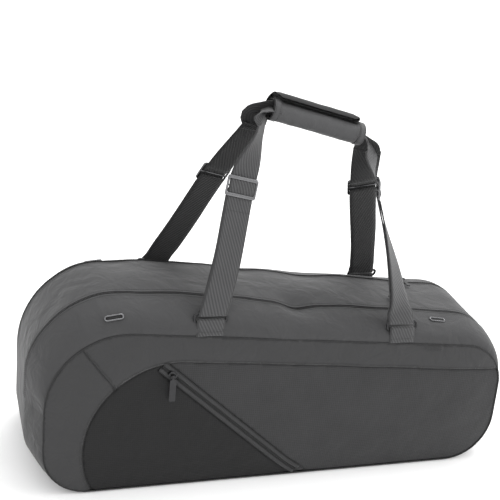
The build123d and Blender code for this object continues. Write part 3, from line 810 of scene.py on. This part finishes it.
def belly_height(side, flat):
    """How far a side panel swells out of its plane."""
    q = np.clip(near(flat, closed_seam) / 70.0, 0, 1)
    x, p = flat[:, 0], flat[:, 1]
    swell = belly[side] * q * (2 - q)
    swell = swell + 3.0 * hump(x, 190.0, 120.0) * hump(p, 110.0, 70.0) * q
    spots = np.stack([x, np.zeros(len(x)), p], 1)
    soft = (1.6 * wander(spots, 85.0, 4) + 0.7 * wander(spots, 32.0, 5)) * ease(q * 2)
    if side == "rear":
        return swell + soft
    # the pocket zipper is a stiffer line: it lies flat beside its slider
    calm = ease(near(flat, zip_line) / 34.0)
    seated = (pocket_swell - 0.8) * ease(near(flat, closed_seam) / 40.0)
    return (swell + soft) * calm + seated * (1 - calm)


def beside(line, shift):
    """A polyline moved sideways, to its left for a positive shift."""
    way = unit(np.gradient(line, axis=0))
    return line + np.stack([-way[:, 1], way[:, 0]], 1) * shift


zip_upper, zip_lower = beside(zip_line, zip_half_width), beside(zip_line, -zip_half_width)


def panel_regions(lines):
    """One triangulation of a side panel's outline, with seam lines cut into it."""
    step = 5.0
    points = list(seam_loop)
    edges = [(i, (i + 1) % len(seam_loop)) for i in range(len(seam_loop))]
    for line in lines:
        base = len(points)
        points += list(line)
        edges += [(base + i, base + i + 1) for i in range(len(line) - 1)]
    fixed = np.array(points)
    low, high = seam_loop.min(0), seam_loop.max(0)
    inner = []
    for j, p in enumerate(np.arange(low[1] + 2, high[1], step * 0.87)):
        for x in np.arange(low[0] + (j % 2) * step / 2, high[0], step):
            inner.append((x, p))
    inner = np.array(inner)
    inner = inner[within(inner, seam_loop)]
    clear = near(inner, closed_seam) > 2.2
    for line in lines:
        clear &= near(inner, line) > 2.2
    everything = [Vector(p) for p in np.concatenate([fixed, inner[clear]])]
    found, _, faces, *_ = delaunay_2d_cdt(everything, edges, [], 0, 1e-5)
    flat = np.array([tuple(p) for p in found])
    triangles = np.array(faces)
    centres = flat[triangles].mean(1)
    keep = within(centres, seam_loop)
    return flat, triangles[keep], centres[keep]


def panel_piece(name, side, flat, triangles, lift, material, slot, grooves, thickness=2.4):
    """Part of a side panel, as thick fabric, pressed in along its grooves."""
    used = np.unique(triangles)
    renumber = np.full(len(flat), -1)
    renumber[used] = np.arange(len(used))
    flat, triangles = flat[used], renumber[triangles]
    out = belly_height(side, flat) + lift
    for line, depth in grooves:
        out = out - depth * np.exp(-((near(flat, line) / 3.2) ** 2))
    points = on_panel(side, flat, out)
    a, b, c = points[triangles[:, 0]], points[triangles[:, 1]], points[triangles[:, 2]]
    outward = np.sum(np.cross(b - a, c - a)[:, 1]) * outside[side] > 0
    faces = triangles if outward else triangles[:, ::-1]
    piece = make_piece(name, points, faces, material, "root", slot)
    thicken = piece.modifiers.new("thickness", "SOLIDIFY")
    thicken.thickness = thickness * METRE
    thicken.offset = -1.0
    return piece


flat, triangles, centres = panel_regions([arc_seam, short_seam, zip_upper, zip_lower])
pocket_area = np.concatenate([arc_seam, [(391.0, -20.0)]])
in_pocket = within(centres, pocket_area)
strip_area = np.concatenate([zip_upper, zip_lower[::-1]])
in_strip = within(centres, strip_area)
upper_area = np.concatenate([zip_line, [(400.0, 3.0), (400.0, 300.0), (-183.0, 300.0)]])
in_upper = within(centres, upper_area)
corner_way = unit(short_seam[-1] - short_seam[0])
from_corner = centres - short_seam[0]
in_left = from_corner[:, 0] * corner_way[1] - from_corner[:, 1] * corner_way[0] > 0
seams = [(arc_seam, 1.5), (short_seam, 1.2)]
yoke = panel_piece("front_yoke_fabric", "front", flat, triangles[~in_pocket & ~in_left], 0.7, panel_fabric,
                   "panel_fabric", seams)
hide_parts("front_yoke")
corner = panel_piece("front_corner_fabric", "front", flat, triangles[~in_pocket & in_left], 0.5, panel_fabric,
                     "panel_fabric", seams)
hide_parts("front_yoke")
right = panel_piece("pocket_fabric_right", "front", flat, triangles[in_pocket & ~in_strip & in_upper], 0.0,
                    ripstop_right, "ripstop", seams + [(zip_upper, 0.7)])
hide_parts("pocket_panel_right")
left = panel_piece("pocket_fabric_left", "front", flat, triangles[in_pocket & ~in_strip & ~in_upper], 0.0,
                   ripstop_left, "ripstop", seams + [(zip_lower, 0.7)])
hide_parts("pocket_panel_left")
bed = panel_piece("pocket_zip_tape", "front", flat, triangles[in_pocket & in_strip], -1.6, tape_cloth,
                  "zipper", [])
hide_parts("pocket_zip_coil")

flat, triangles, centres = panel_regions([])
rear = panel_piece("rear_panel_fabric", "rear", flat, triangles, 0.0, panel_fabric, "panel_fabric", [])
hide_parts("rear_panel")


def on_front(line, out):
    """A line of the front panel's plane laid on its swollen surface."""
    return on_panel("front", line, belly_height("front", line) + out)


front_normal = vec(0, -cos(lean), sin(lean))
inside_strip = zip_line[zip_line[:, 1] > 7.5]
for sign, half in ((1, "upper"), (-1, "lower")):
    line = beside(inside_strip, sign * 5.2)
    line = line[line[:, 1] > 4.0]
    ribbon(f"pocket_welt_{half}", on_front(line, 0.2), front_normal, 5.2, 2.4, panel_fabric,
                        "root", "panel_fabric")
    for shift, label in ((8.1, "outer"), (2.4, "inner")):
        edge = beside(inside_strip, sign * shift)
        edge = edge[edge[:, 1] > 4.0]
        path = on_front(edge, 0.5)
        tube(f"pocket_{label}_piping_{half}", path, 0.8, piping_fabric, "root", "panel_fabric")
    stitching(f"pocket_welt_stitches_{half}", [on_front(line, 1.45)], "root", 2.8, 1.9, 0.26)
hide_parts("pocket_welts")
centres, ways = even(on_front(inside_strip, -0.2), 1.7)
side_way = unit(np.cross(ways, front_normal))
teeth = []
for c, way in zip(centres, side_way):
    raised = c + front_normal * 0.4
    tooth = np.array([c - way * 1.7, raised - way * 0.5, raised + way * 0.5, c + way * 1.7])
    teeth.append(tube_mesh(tooth, np.array([0.5, 0.7, 0.7, 0.5]), 6, False))
make_piece("pocket_coil", *gather(teeth), coil_nylon, "root", "zipper")
yoke_edge = arc_seam[within(arc_seam, seam_loop)]
tube("yoke_seam_cord", on_front(yoke_edge, -1.1), 0.7, piping_fabric, "root", "panel_fabric")
tube("corner_seam_cord", on_front(short_seam[1:], -0.9), 0.9, piping_fabric, "root", "panel_fabric")
stitching("yoke_stitches", [on_front(beside(yoke_edge, 3.0), 0.75)], "root", 3.2, 2.2, 0.3)
stitching("corner_stitches", [on_front(beside(short_seam[3:-1], 2.6), 0.75)], "root", 3.2, 2.2, 0.3)


# --- Strap anchors, rings, straps, tri-glides ---
def leg_facts(name):
    """Pivot, unit direction, head point and tri-glide distance of a strap leg."""
    side, x, head, glide_height = legs[name]
    z = seam_height(x)
    y = outside[side] * (bottom_half_depth - tan(lean) * z)
    run = unit(vec(0.0, head[1] - y, head[2] - z))
    pivot = vec(x, y, z) + run * ring_stand
    return side, pivot, run, vec(*head), (glide_height - pivot[2]) / run[2]


def bar_loop(centre, run, out, radius, start, stop, steps=12):
    """Points round a ring's bar, in the plane of run and out; angles from out towards run."""
    angles = np.radians(np.linspace(start, stop, steps))
    return [centre + out * radius * cos(a) + run * radius * sin(a) for a in angles]


def rounded_loop(half_x, half_y, radius, steps=7):
    """A rounded rectangle as a closed row of 2-D points."""
    points = []
    for cx, cy, start in ((1, 1, 0), (-1, 1, 90), (-1, -1, 180), (1, -1, 270)):
        x, y = cx * (half_x - radius), cy * (half_y - radius)
        for a in np.radians(np.linspace(start, start + 90, steps)):
            points.append((x + radius * cos(a), y + radius * sin(a)))
    return np.array(points)


def plate_frame(middle, x_way, y_way, z_way, outer, inner, deep):
    """A flat frame with chamfered edges, round a window. outer and inner are half sizes."""
    bevel = 0.7
    sections = [
        (outer, 4.0, -deep / 2),
        (outer, 4.0, deep / 2 - bevel),
        ((outer[0] - bevel, outer[1] - bevel), 3.4, deep / 2),
        ((inner[0] + bevel, inner[1] + bevel), 2.7, deep / 2),
        (inner, 2.0, deep / 2 - bevel),
        (inner, 2.0, -deep / 2),
    ]
    rings = []
    for (half_x, half_y), radius, height in sections:
        flat = rounded_loop(half_x, half_y, radius)
        rings.append(middle + flat[:, :1] * x_way + flat[:, 1:] * y_way + z_way * height)
    grid = np.array(rings)
    cell = np.arange(grid.shape[0] * grid.shape[1]).reshape(grid.shape[:2])
    below, after = np.roll(cell, -1, 0), np.roll(cell, -1, 1)
    across = np.roll(below, -1, 1)
    faces = np.stack([cell, after, across, below], -1).reshape(-1, 4)
    return grid.reshape(-1, 3), faces.tolist()


def band_spot(side, x, share):
    """A point on a side band's soft surface, with its normal and the direction along the bag."""
    grid, normals = band_grid(side, OVER)
    column = int(round(share * band_steps))
    row = int(np.argmin(np.abs(grid[:, column, 0] - x) + 1000 * (grid[:, column, 2] < 180)))
    return grid[row, column], normals[row, column], unit(grid[row - 2, column] - grid[row + 2, column])


# turn of the webbing about its leg, in degrees: at the ring, at the tri-glide, at the hand wrap
leg_twist = {
    "front_left": (4.0, 8.0, 58.0),
    "front_right": (34.0, 68.0, 42.0),
    "rear_left": (0.0, -6.0, -16.0),
    "rear_right": (-6.0, 4.0, 30.0),
}
# the webbing's route over the tri-glide's bar: (distance from the bar, lift)
hill = [(12.5, 0.3), (9.0, 1.8), (5.5, 3.6)]
over_glide = [(-step, lift) for step, lift in hill] + [(0.0, 4.2)] + hill[::-1] + [(17.0, 0.0)]
x_way = vec(1.0, 0.0, 0.0)
for name in legs:
    side, pivot, run, head, glide = leg_facts(name)
    far = outside[side]
    out = unit(np.cross(run, vec(1, 0, 0))) * -far
    out = out * np.sign(out[1] * far)
    strap_cloth = webbing if side == "front" else dark_webbing

    # the anchor tab, out of the seam, round the ring's lower bar and back
    seam = seam_height(pivot[0])
    foot = vec(pivot[0], far * (bottom_half_depth - tan(lean) * seam), seam)
    tab = [foot + out * 1.2 - run * 2.0, foot + out * 1.6 + run * 4.0, pivot + out * 3.1 - run * 4.0]
    tab += bar_loop(pivot, run, out, 3.5, 0, 180, 9)
    tab += [pivot - out * 2.6 - run * 4.0, foot - out * 0.6 + run * 7.0]
    tab = smooth_path(tab, 1.6)
    anchor = ribbon(f"{name}_anchor_tab", tab, out, webbing_width, webbing_thickness, strap_cloth, "root",
                    "webbing", across=x_way)
    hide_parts("anchor_tabs")
    for shift in (3.0, 6.0):
        row = [foot + run * (shift + 1.0) + out * 2.9 + x_way * t for t in (-19.0, 19.0)]
        stitching(f"{name}_tab_stitches_{int(shift)}", [np.array(row)], "root", 2.6, 1.9, 0.3)

    # the ring
    flat = rounded_loop(ring_inner[0] / 2 + ring_bar / 2, ring_inner[1] / 2 + ring_bar / 2, 4.5)
    middle = pivot + run * ring_reach / 2
    path = middle + flat[:, :1] * x_way + flat[:, 1:] * run
    ring = tube(f"{name}_ring_metal", path, ring_bar / 2 - 0.05, black_metal, f"{name}_leg", "hardware", 12,
                True)
    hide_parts(f"{name}_ring")

    # the leg: down its back from the tri-glide, round the ring, up its front
    rise = (head - pivot) @ run
    drift = (head[0] - pivot[0]) / rise
    upper_bar = pivot + run * ring_reach

    def centre(s):
        return pivot + run * s + x_way * drift * max(0.0, s)

    turn_low, turn_high, turn_end = leg_twist[name]
    drawn_in = 8.0 if name == "front_left" else 0.0

    def facing(s):
        """The outward direction of the webbing's face, turning about the leg."""
        share = float(ease((s - 25.0) / (glide * 0.75)))
        ending = float(ease((s - glide - 12.0) / max(rise - glide - 12.0, 1.0)))
        start = turn_low * float(ease((s - 18.0) / 20.0))
        a = radians((start * (1 - share) + turn_high * share) * (1 - ending) + turn_end * ending)
        return out * cos(a) + x_way * sin(a)

    def sway(s):
        """Loose webbing bows a little between its ends."""
        bow = out * 4.0 * sin(pi * min(1.0, max(0.0, s / rise))) + x_way * 2.5 * sin(2 * pi * s / rise)
        return bow + x_way * drawn_in * float(ease((s - glide) / (rise - glide)))

    back_marks = [glide - 4.0, glide * 0.75, glide * 0.5, ring_reach + 22.0, ring_reach + 9.0]
    front_marks = [ring_reach + 9.0, ring_reach + 22.0, glide * 0.35, glide * 0.5, glide * 0.75, glide - 26.0]
    front_marks += [glide - 18.0]
    path = [centre(s) + sway(s) - facing(s) * 1.5 for s in back_marks]
    for a in np.radians(np.linspace(180, 360, 9)):
        path.append(upper_bar + out * 3.4 * cos(a) + run * 3.4 * sin(a) + x_way * drift * ring_reach)
    path += [centre(s) + sway(s) + facing(s) * 1.5 for s in front_marks]
    for step, lift in over_glide:
        s = glide + step
        path.append(centre(s) + sway(s) + facing(s) * lift)
    path += [centre(s) + sway(s) for s in np.linspace(glide + 24.0, rise, 5)]
    line = smooth_path(path, 3.0)
    skew = unit(run + x_way * drift)
    heights = (line - pivot) @ run
    loop = hump(heights, ring_reach, 26.0)
    sides = []
    for s, h in zip(heights, loop):
        square = -unit(np.cross(skew, facing(s)))
        square = square * np.sign(square[0] + 1e-9)
        sides.append(unit(square * (1 - h) + x_way * h))
    sides = np.array(sides)
    returning = np.arange(len(line)) < np.argmin(heights)
    strap = ribbon(f"{name}_webbing", line, out, webbing_width, webbing_thickness, strap_cloth, f"{name}_leg",
                   "webbing", across=sides)
    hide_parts(f"{name}_strap")
    raised = head - pivot
    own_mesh(strap)

    # the tri-glide on the webbing's outer face
    face = facing(glide)
    width_way = sides[int(np.argmin(np.abs(heights - glide) + 1000 * returning))]
    up_way = unit(np.cross(face, width_way))
    up_way = up_way * np.sign(up_way @ run)
    seat = centre(glide) + sway(glide) + face * (webbing_thickness / 2 + 1.9)
    meshes = [plate_frame(seat, width_way, up_way, face, tri_glide_outer, tri_glide_window, tri_glide_depth)]
    bar = np.array([seat - face * 1.0 + width_way * t for t in (-23.0, -12.0, 0.0, 12.0, 23.0)])
    meshes.append(tube_mesh(bar, 1.3, 8, False))
    tri = make_piece(f"{name}_slider_frame", *gather(meshes), bright_metal if side == "front" else metal,
                     f"{name}_glide", "hardware")
    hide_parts(f"{name}_tri_glide")
    # a line of stitches that holds the folded end
    s = glide - 34.0
    row = centre(s) + sway(s) + facing(s) * 2.7
    reach = sides[int(np.argmin(np.abs(heights - glide + 34.0) + 1000 * returning))] * 19.0
    row = np.array([row - reach, row + reach])
    seam_row = stitching(f"{name}_webbing_stitches", [row], f"{name}_leg", 2.4, 1.7, 0.28)
    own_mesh(seam_row)

    # the end of the webbing, turning into the hand wrap
    left_end = head[0] < 0
    into = grip_way if left_end else -grip_way
    mouth = handle_centre - into * handle_half_length + vec(0, far * 4.5, 0)
    start = centre(rise) + sway(rise)
    route = [start - skew * 6.0, start, start + skew * 9.0]
    if name == "rear_left":  # the rear webbing bends round in its own plane, as a shoulder
        route += [mouth - into * 22.0 - grip_up * 15.0, mouth - into * 11.0 - grip_up * 6.0]
    elif left_end:
        route += [mouth - into * 13.0 - grip_up * 9.0, mouth - into * 7.0 - grip_up * 3.0]
    else:
        route += [mouth - into * 13.0 - grip_up * 7.0, mouth - into * 6.0 - grip_up * 1.5]
    route += [mouth, mouth + into * 14.0]
    route = smooth_path(route, 2.5)
    share = np.linspace(0, 1, len(route))[:, None]
    if name == "rear_left":
        lying = grip_up * 0.55 + vec(0, 1.0, 0)
    else:
        lying = grip_up * (-1.0 if left_end else 1.0)
    looks = unit(facing(rise) * (1 - ease(share * 1.2)) + lying * ease(share * 1.2))
    widths = webbing_width - 16.0 * ease(share[:, 0] * 1.3)
    end = ribbon(f"{name}_webbing_end", route, looks, widths, webbing_thickness, strap_cloth, "handle",
                 "webbing")
    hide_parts("strap_bridges")

# a bar tack below the front seam, right of the strap
tack = [np.array([(223.0, 208.0 - 3.2 * k), (253.0, 205.5 - 3.2 * k)]) for k in range(3)]
stitching("front_bar_tack", [on_front(line, 0.9) for line in tack], "root", 2.6, 2.2, 0.4)

# --- Slot grommets ---
for side in ("front", "rear"):
    for label, slot in slots.items():
        spot, up, along = band_spot(side, *slot)
        cross_way = unit(np.cross(up, along))
        flat = rounded_loop(*grommet_rim)
        rim_path = spot + up * 1.2 + flat[:, :1] * along + flat[:, 1:] * cross_way
        rim = tube(f"{side}_grommet_{label}", rim_path, 1.15, bright_metal, "root", "hardware", 10, True)
        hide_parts("slot_grommets")
        # a dark plug fills the slot's hole: painted shade for the dark inside seen through it
        flat = rounded_loop(*grommet_hole)
        plug = flat[:, :1] * along + flat[:, 1:] * cross_way
        hole, sunk = spot + up * 1.1 + plug, spot - up * 0.3 + plug
        n = len(hole)
        faces = [list(range(n)), list(range(n, 2 * n))[::-1]]
        faces += [[i, i + n, (i + 1) % n + n, (i + 1) % n] for i in range(n)]
        points = np.concatenate([hole, sunk])
        make_piece(f"{side}_slot_{label}", points, faces, hook_nylon_and_slot_shade, "root", "hardware")


# --- Hand wrap ---
def wrap_surface(angles, places, radius):
    """Points round the grip; angles from the rear side upwards, in degrees."""
    a = np.radians(angles)
    r = radius[..., None]
    middle = handle_centre + places[..., None] * grip_way
    return middle + r * (np.cos(a)[..., None] * grip_back + np.sin(a)[..., None] * grip_up)


def wrap_mesh(places, angles):
    """Places along the grip and angles round it, as two grids."""
    return np.meshgrid(places, angles, indexing="ij")


along, turn = wrap_mesh(np.linspace(-handle_half_length, handle_half_length, 80), np.linspace(62, 418, 72))
near_end = ease((handle_half_length - np.abs(along)) / 7.0)
radius = 13.9 + 1.9 * near_end + 0.8 * np.sin(np.radians(turn) * 2 + 0.6)
base = wrap_surface(turn, along, radius)
radius = radius + 0.8 * wander(base, 26.0, 7) + 0.35 * wander(base, 10.0, 8)
grid = wrap_surface(turn, along, radius)
normals = normals_from(grid, base.mean((0, 1)))
sleeve = outward_slab("hand_wrap_sleeve", grid, normals, 2.6, wrap_fabric, "handle", "wrap")
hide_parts("handle_wrap", "handle_core")
core_ends = [handle_centre + grip_way * t for t in (-70.0, -69.0, 0.0, 69.0, 70.0)]
tube("hand_wrap_core", core_ends, np.array([11.2, 12.2, 12.2, 12.2, 11.2]), foam, "handle", "foam", 36)
for label, place in (("left", -handle_half_length + 5.5), ("right", handle_half_length - 5.5)):
    s, t = wrap_mesh(np.linspace(-5.0, 5.0, 8), np.linspace(58, 422, 64))
    grid = wrap_surface(t, s + place, 17.0 + 0.7 * np.sin(np.radians(t) * 2 + 0.6) - (s / 5.0) ** 2 * 0.6)
    normals = normals_from(grid, grid.mean((0, 1)))
    band = outward_slab(f"wrap_end_band_{label}", grid, normals, 1.8, wrap_fabric, "handle", "wrap")
    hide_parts("wrap_end_bands")
    t = np.linspace(70, 410, 80)
    stitch_radius = 17.3 + 0.7 * np.sin(np.radians(t) * 2 + 0.6) - 0.2
    rows = [wrap_surface(t, np.full(80, place + shift), stitch_radius) for shift in (-3.4, 3.4)]
    stitching(f"wrap_band_stitches_{label}", rows, "handle", 2.8, 1.9, 0.3)
# hook tape along the sleeve's top edge, under the flap
s, t = wrap_mesh(np.linspace(-62.0, 62.0, 40), np.linspace(72, 118, 10))
grid = wrap_surface(t, s, np.full(s.shape, 17.6))
normals = normals_from(grid, handle_centre)
hook = outward_slab("wrap_hook_tape", grid, normals, 1.0, hook_nylon_and_slot_shade, "handle", "hook_tape")
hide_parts("wrap_hook_strip")
# the flap that folds over from behind; its fabric colour, far darker than the sleeve's, is painted shade
s, t = wrap_mesh(np.linspace(-74.0, 62.0, 60), np.linspace(4, 112, 30))
corner_cut = ease((68.0 - np.abs(s + 6.0)) / 9.0)
t = 4 + (t - 4) * (0.86 + 0.14 * corner_cut)
radius = 22.6 + 2.8 * np.sin(np.radians((t - 4) * 1.6)) * (0.5 + 0.5 * corner_cut)
grid = wrap_surface(t, s, radius)
grid = wrap_surface(t, s, radius + 0.6 * wander(grid, 24.0, 9))
normals = normals_from(grid, handle_centre)
flap = outward_slab("wrap_flap_cover", grid, normals, 5.4, painted_shade_flap_fabric, "wrap_flap", "wrap", round_edge=0.5)
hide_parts("wrap_flap")

# --- Grab handle on the rear ---
grab_low, grab_high = -152.0, 172.0
grab_height = 163.0 * slant - 1.0


def on_rear(line, out):
    """A line of the rear panel's plane, pushed out by out."""
    return on_panel("rear", line, out)


# how far the webbing stands off the panel: (distance past its sewn end, stand-off)
end_marks = [(40.0, 8.5), (22.0, 9.6), (2.0, 11.0), (-14.0, 18.0), (-32.0, 27.5), (-70.0, 29.5)]
marks = [(grab_low - past, off) for past, off in end_marks] + [(10.0, 30.0)]
marks += [(grab_high + past, off) for past, off in end_marks[::-1]]
profile = smooth_path(marks, 4.0)
sagging = grab_height + 1.5 * np.sin(profile[:, 0] / 60.0)
line = on_rear(np.stack([profile[:, 0], sagging], 1), profile[:, 1])
rear_up = vec(0, -sin(lean), cos(lean))
grab = ribbon("grab_handle_webbing", line, vec(0, 1, 0), 26.0, 3.6, dark_webbing, "root", "webbing",
              across=-rear_up)
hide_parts("grab_handle")
for label, x in (("left", grab_low - 22.0), ("right", grab_high + 22.0)):
    flat = np.stack([np.linspace(x - 20.0, x + 20.0, 12), np.full(12, grab_height)], 1)
    line = on_rear(flat, belly_height("rear", flat) + 3.6)
    patch = ribbon(f"grab_patch_{label}", line, vec(0, 1, 0), 31.0, 2.0, webbing, "root", "webbing",
                   across=-rear_up)
    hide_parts("grab_tabs")
    rows = []
    a, b, c, d = [(x + dx, grab_height + dp) for dx, dp in ((-17, -12), (17, -12), (17, 12), (-17, 12))]
    for ends in ((a, b), (b, c), (c, d), (d, a), (a, c), (d, b)):  # a box with a cross in it
        flat = np.array(ends)
        rows.append(on_rear(flat, belly_height("rear", flat) + 4.7))
    stitching(f"grab_patch_stitches_{label}", rows, "root", 3.0, 2.1, 0.35)

# --- CAD parts that stay, with their finishes ---
kept = {
    lining: ["front_lining", "rear_lining", "inner_pocket", "centre_divider", "pocket_bag"],
    foam: ["base_board"],
    black_metal: ["pocket_slider", "pocket_puller"]
    + [f"{side}_{part}_{end}" for side in ("front", "rear") for part in ("slider", "puller") for end in "ab"],
}
for material, names in kept.items():
    for node in names:
        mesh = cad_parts[node].data
        mesh.materials.clear()
        mesh.materials.append(material)

# --- Floor, light, camera ---
bpy.ops.mesh.primitive_plane_add(size=30.0, location=(0, 0, 0))
floor = bpy.context.object
floor.name = "floor"
floor_graph = Graph("floor_paper")
place, _ = floor_graph.place()
speck = floor_graph.grain(place, 40.0)
paper = floor_graph.mix(speck, (0.93, 0.93, 0.93, 1.0), (0.96, 0.96, 0.96, 1.0))
floor.data.materials.append(floor_graph.finish(Base_Color=paper, Roughness=0.9))

world = bpy.data.worlds.new("studio")
bpy.context.scene.world = world
world.use_nodes = True
world.node_tree.nodes["Background"].inputs["Color"].default_value = (1.0, 1.0, 1.0, 1.0)
world.node_tree.nodes["Background"].inputs["Strength"].default_value = 1.25


def softbox(name, location, target, size, power):
    """A square area light that looks at a point."""
    light = bpy.data.lights.new(name, "AREA")
    light.shape = "SQUARE"
    light.size = size
    light.energy = power
    lamp = bpy.data.objects.new(name, light)
    bpy.context.scene.collection.objects.link(lamp)
    lamp.location = location
    lamp.rotation_euler = (Vector(target) - Vector(location)).to_track_quat("-Z", "Y").to_euler()


softbox("key", (0.6, 0.7, 2.4), (0.05, 0.0, 0.2), 1.6, 40.0)
softbox("front_fill", (-1.6, -2.2, 1.5), (0.0, 0.0, 0.2), 1.8, 12.0)
softbox("end_light", (2.2, -0.9, 1.3), (0.2, 0.0, 0.2), 1.2, 14.0)

azimuth, elevation, roll = radians(20.0), radians(23.66), radians(7.2)
forward = Vector((sin(azimuth) * cos(elevation), cos(azimuth) * cos(elevation), -sin(elevation)))
level = Vector((cos(azimuth), -sin(azimuth), 0.0))
upright = level.cross(forward)
right_way = level * cos(roll) + upright * sin(roll)
up_way = right_way.cross(forward)
camera_data = bpy.data.cameras.new("camera")
camera_data.sensor_width = 36.0
camera_data.lens = 74.15
camera = bpy.data.objects.new("camera", camera_data)
bpy.context.scene.collection.objects.link(camera)
camera.matrix_world = Matrix.Translation((-0.5257, -1.3289, 0.9472)) @ Matrix(
    (right_way, up_way, -forward)
).transposed().to_4x4()
bpy.context.scene.camera = camera
bpy.context.scene.view_settings.view_transform = "Standard"
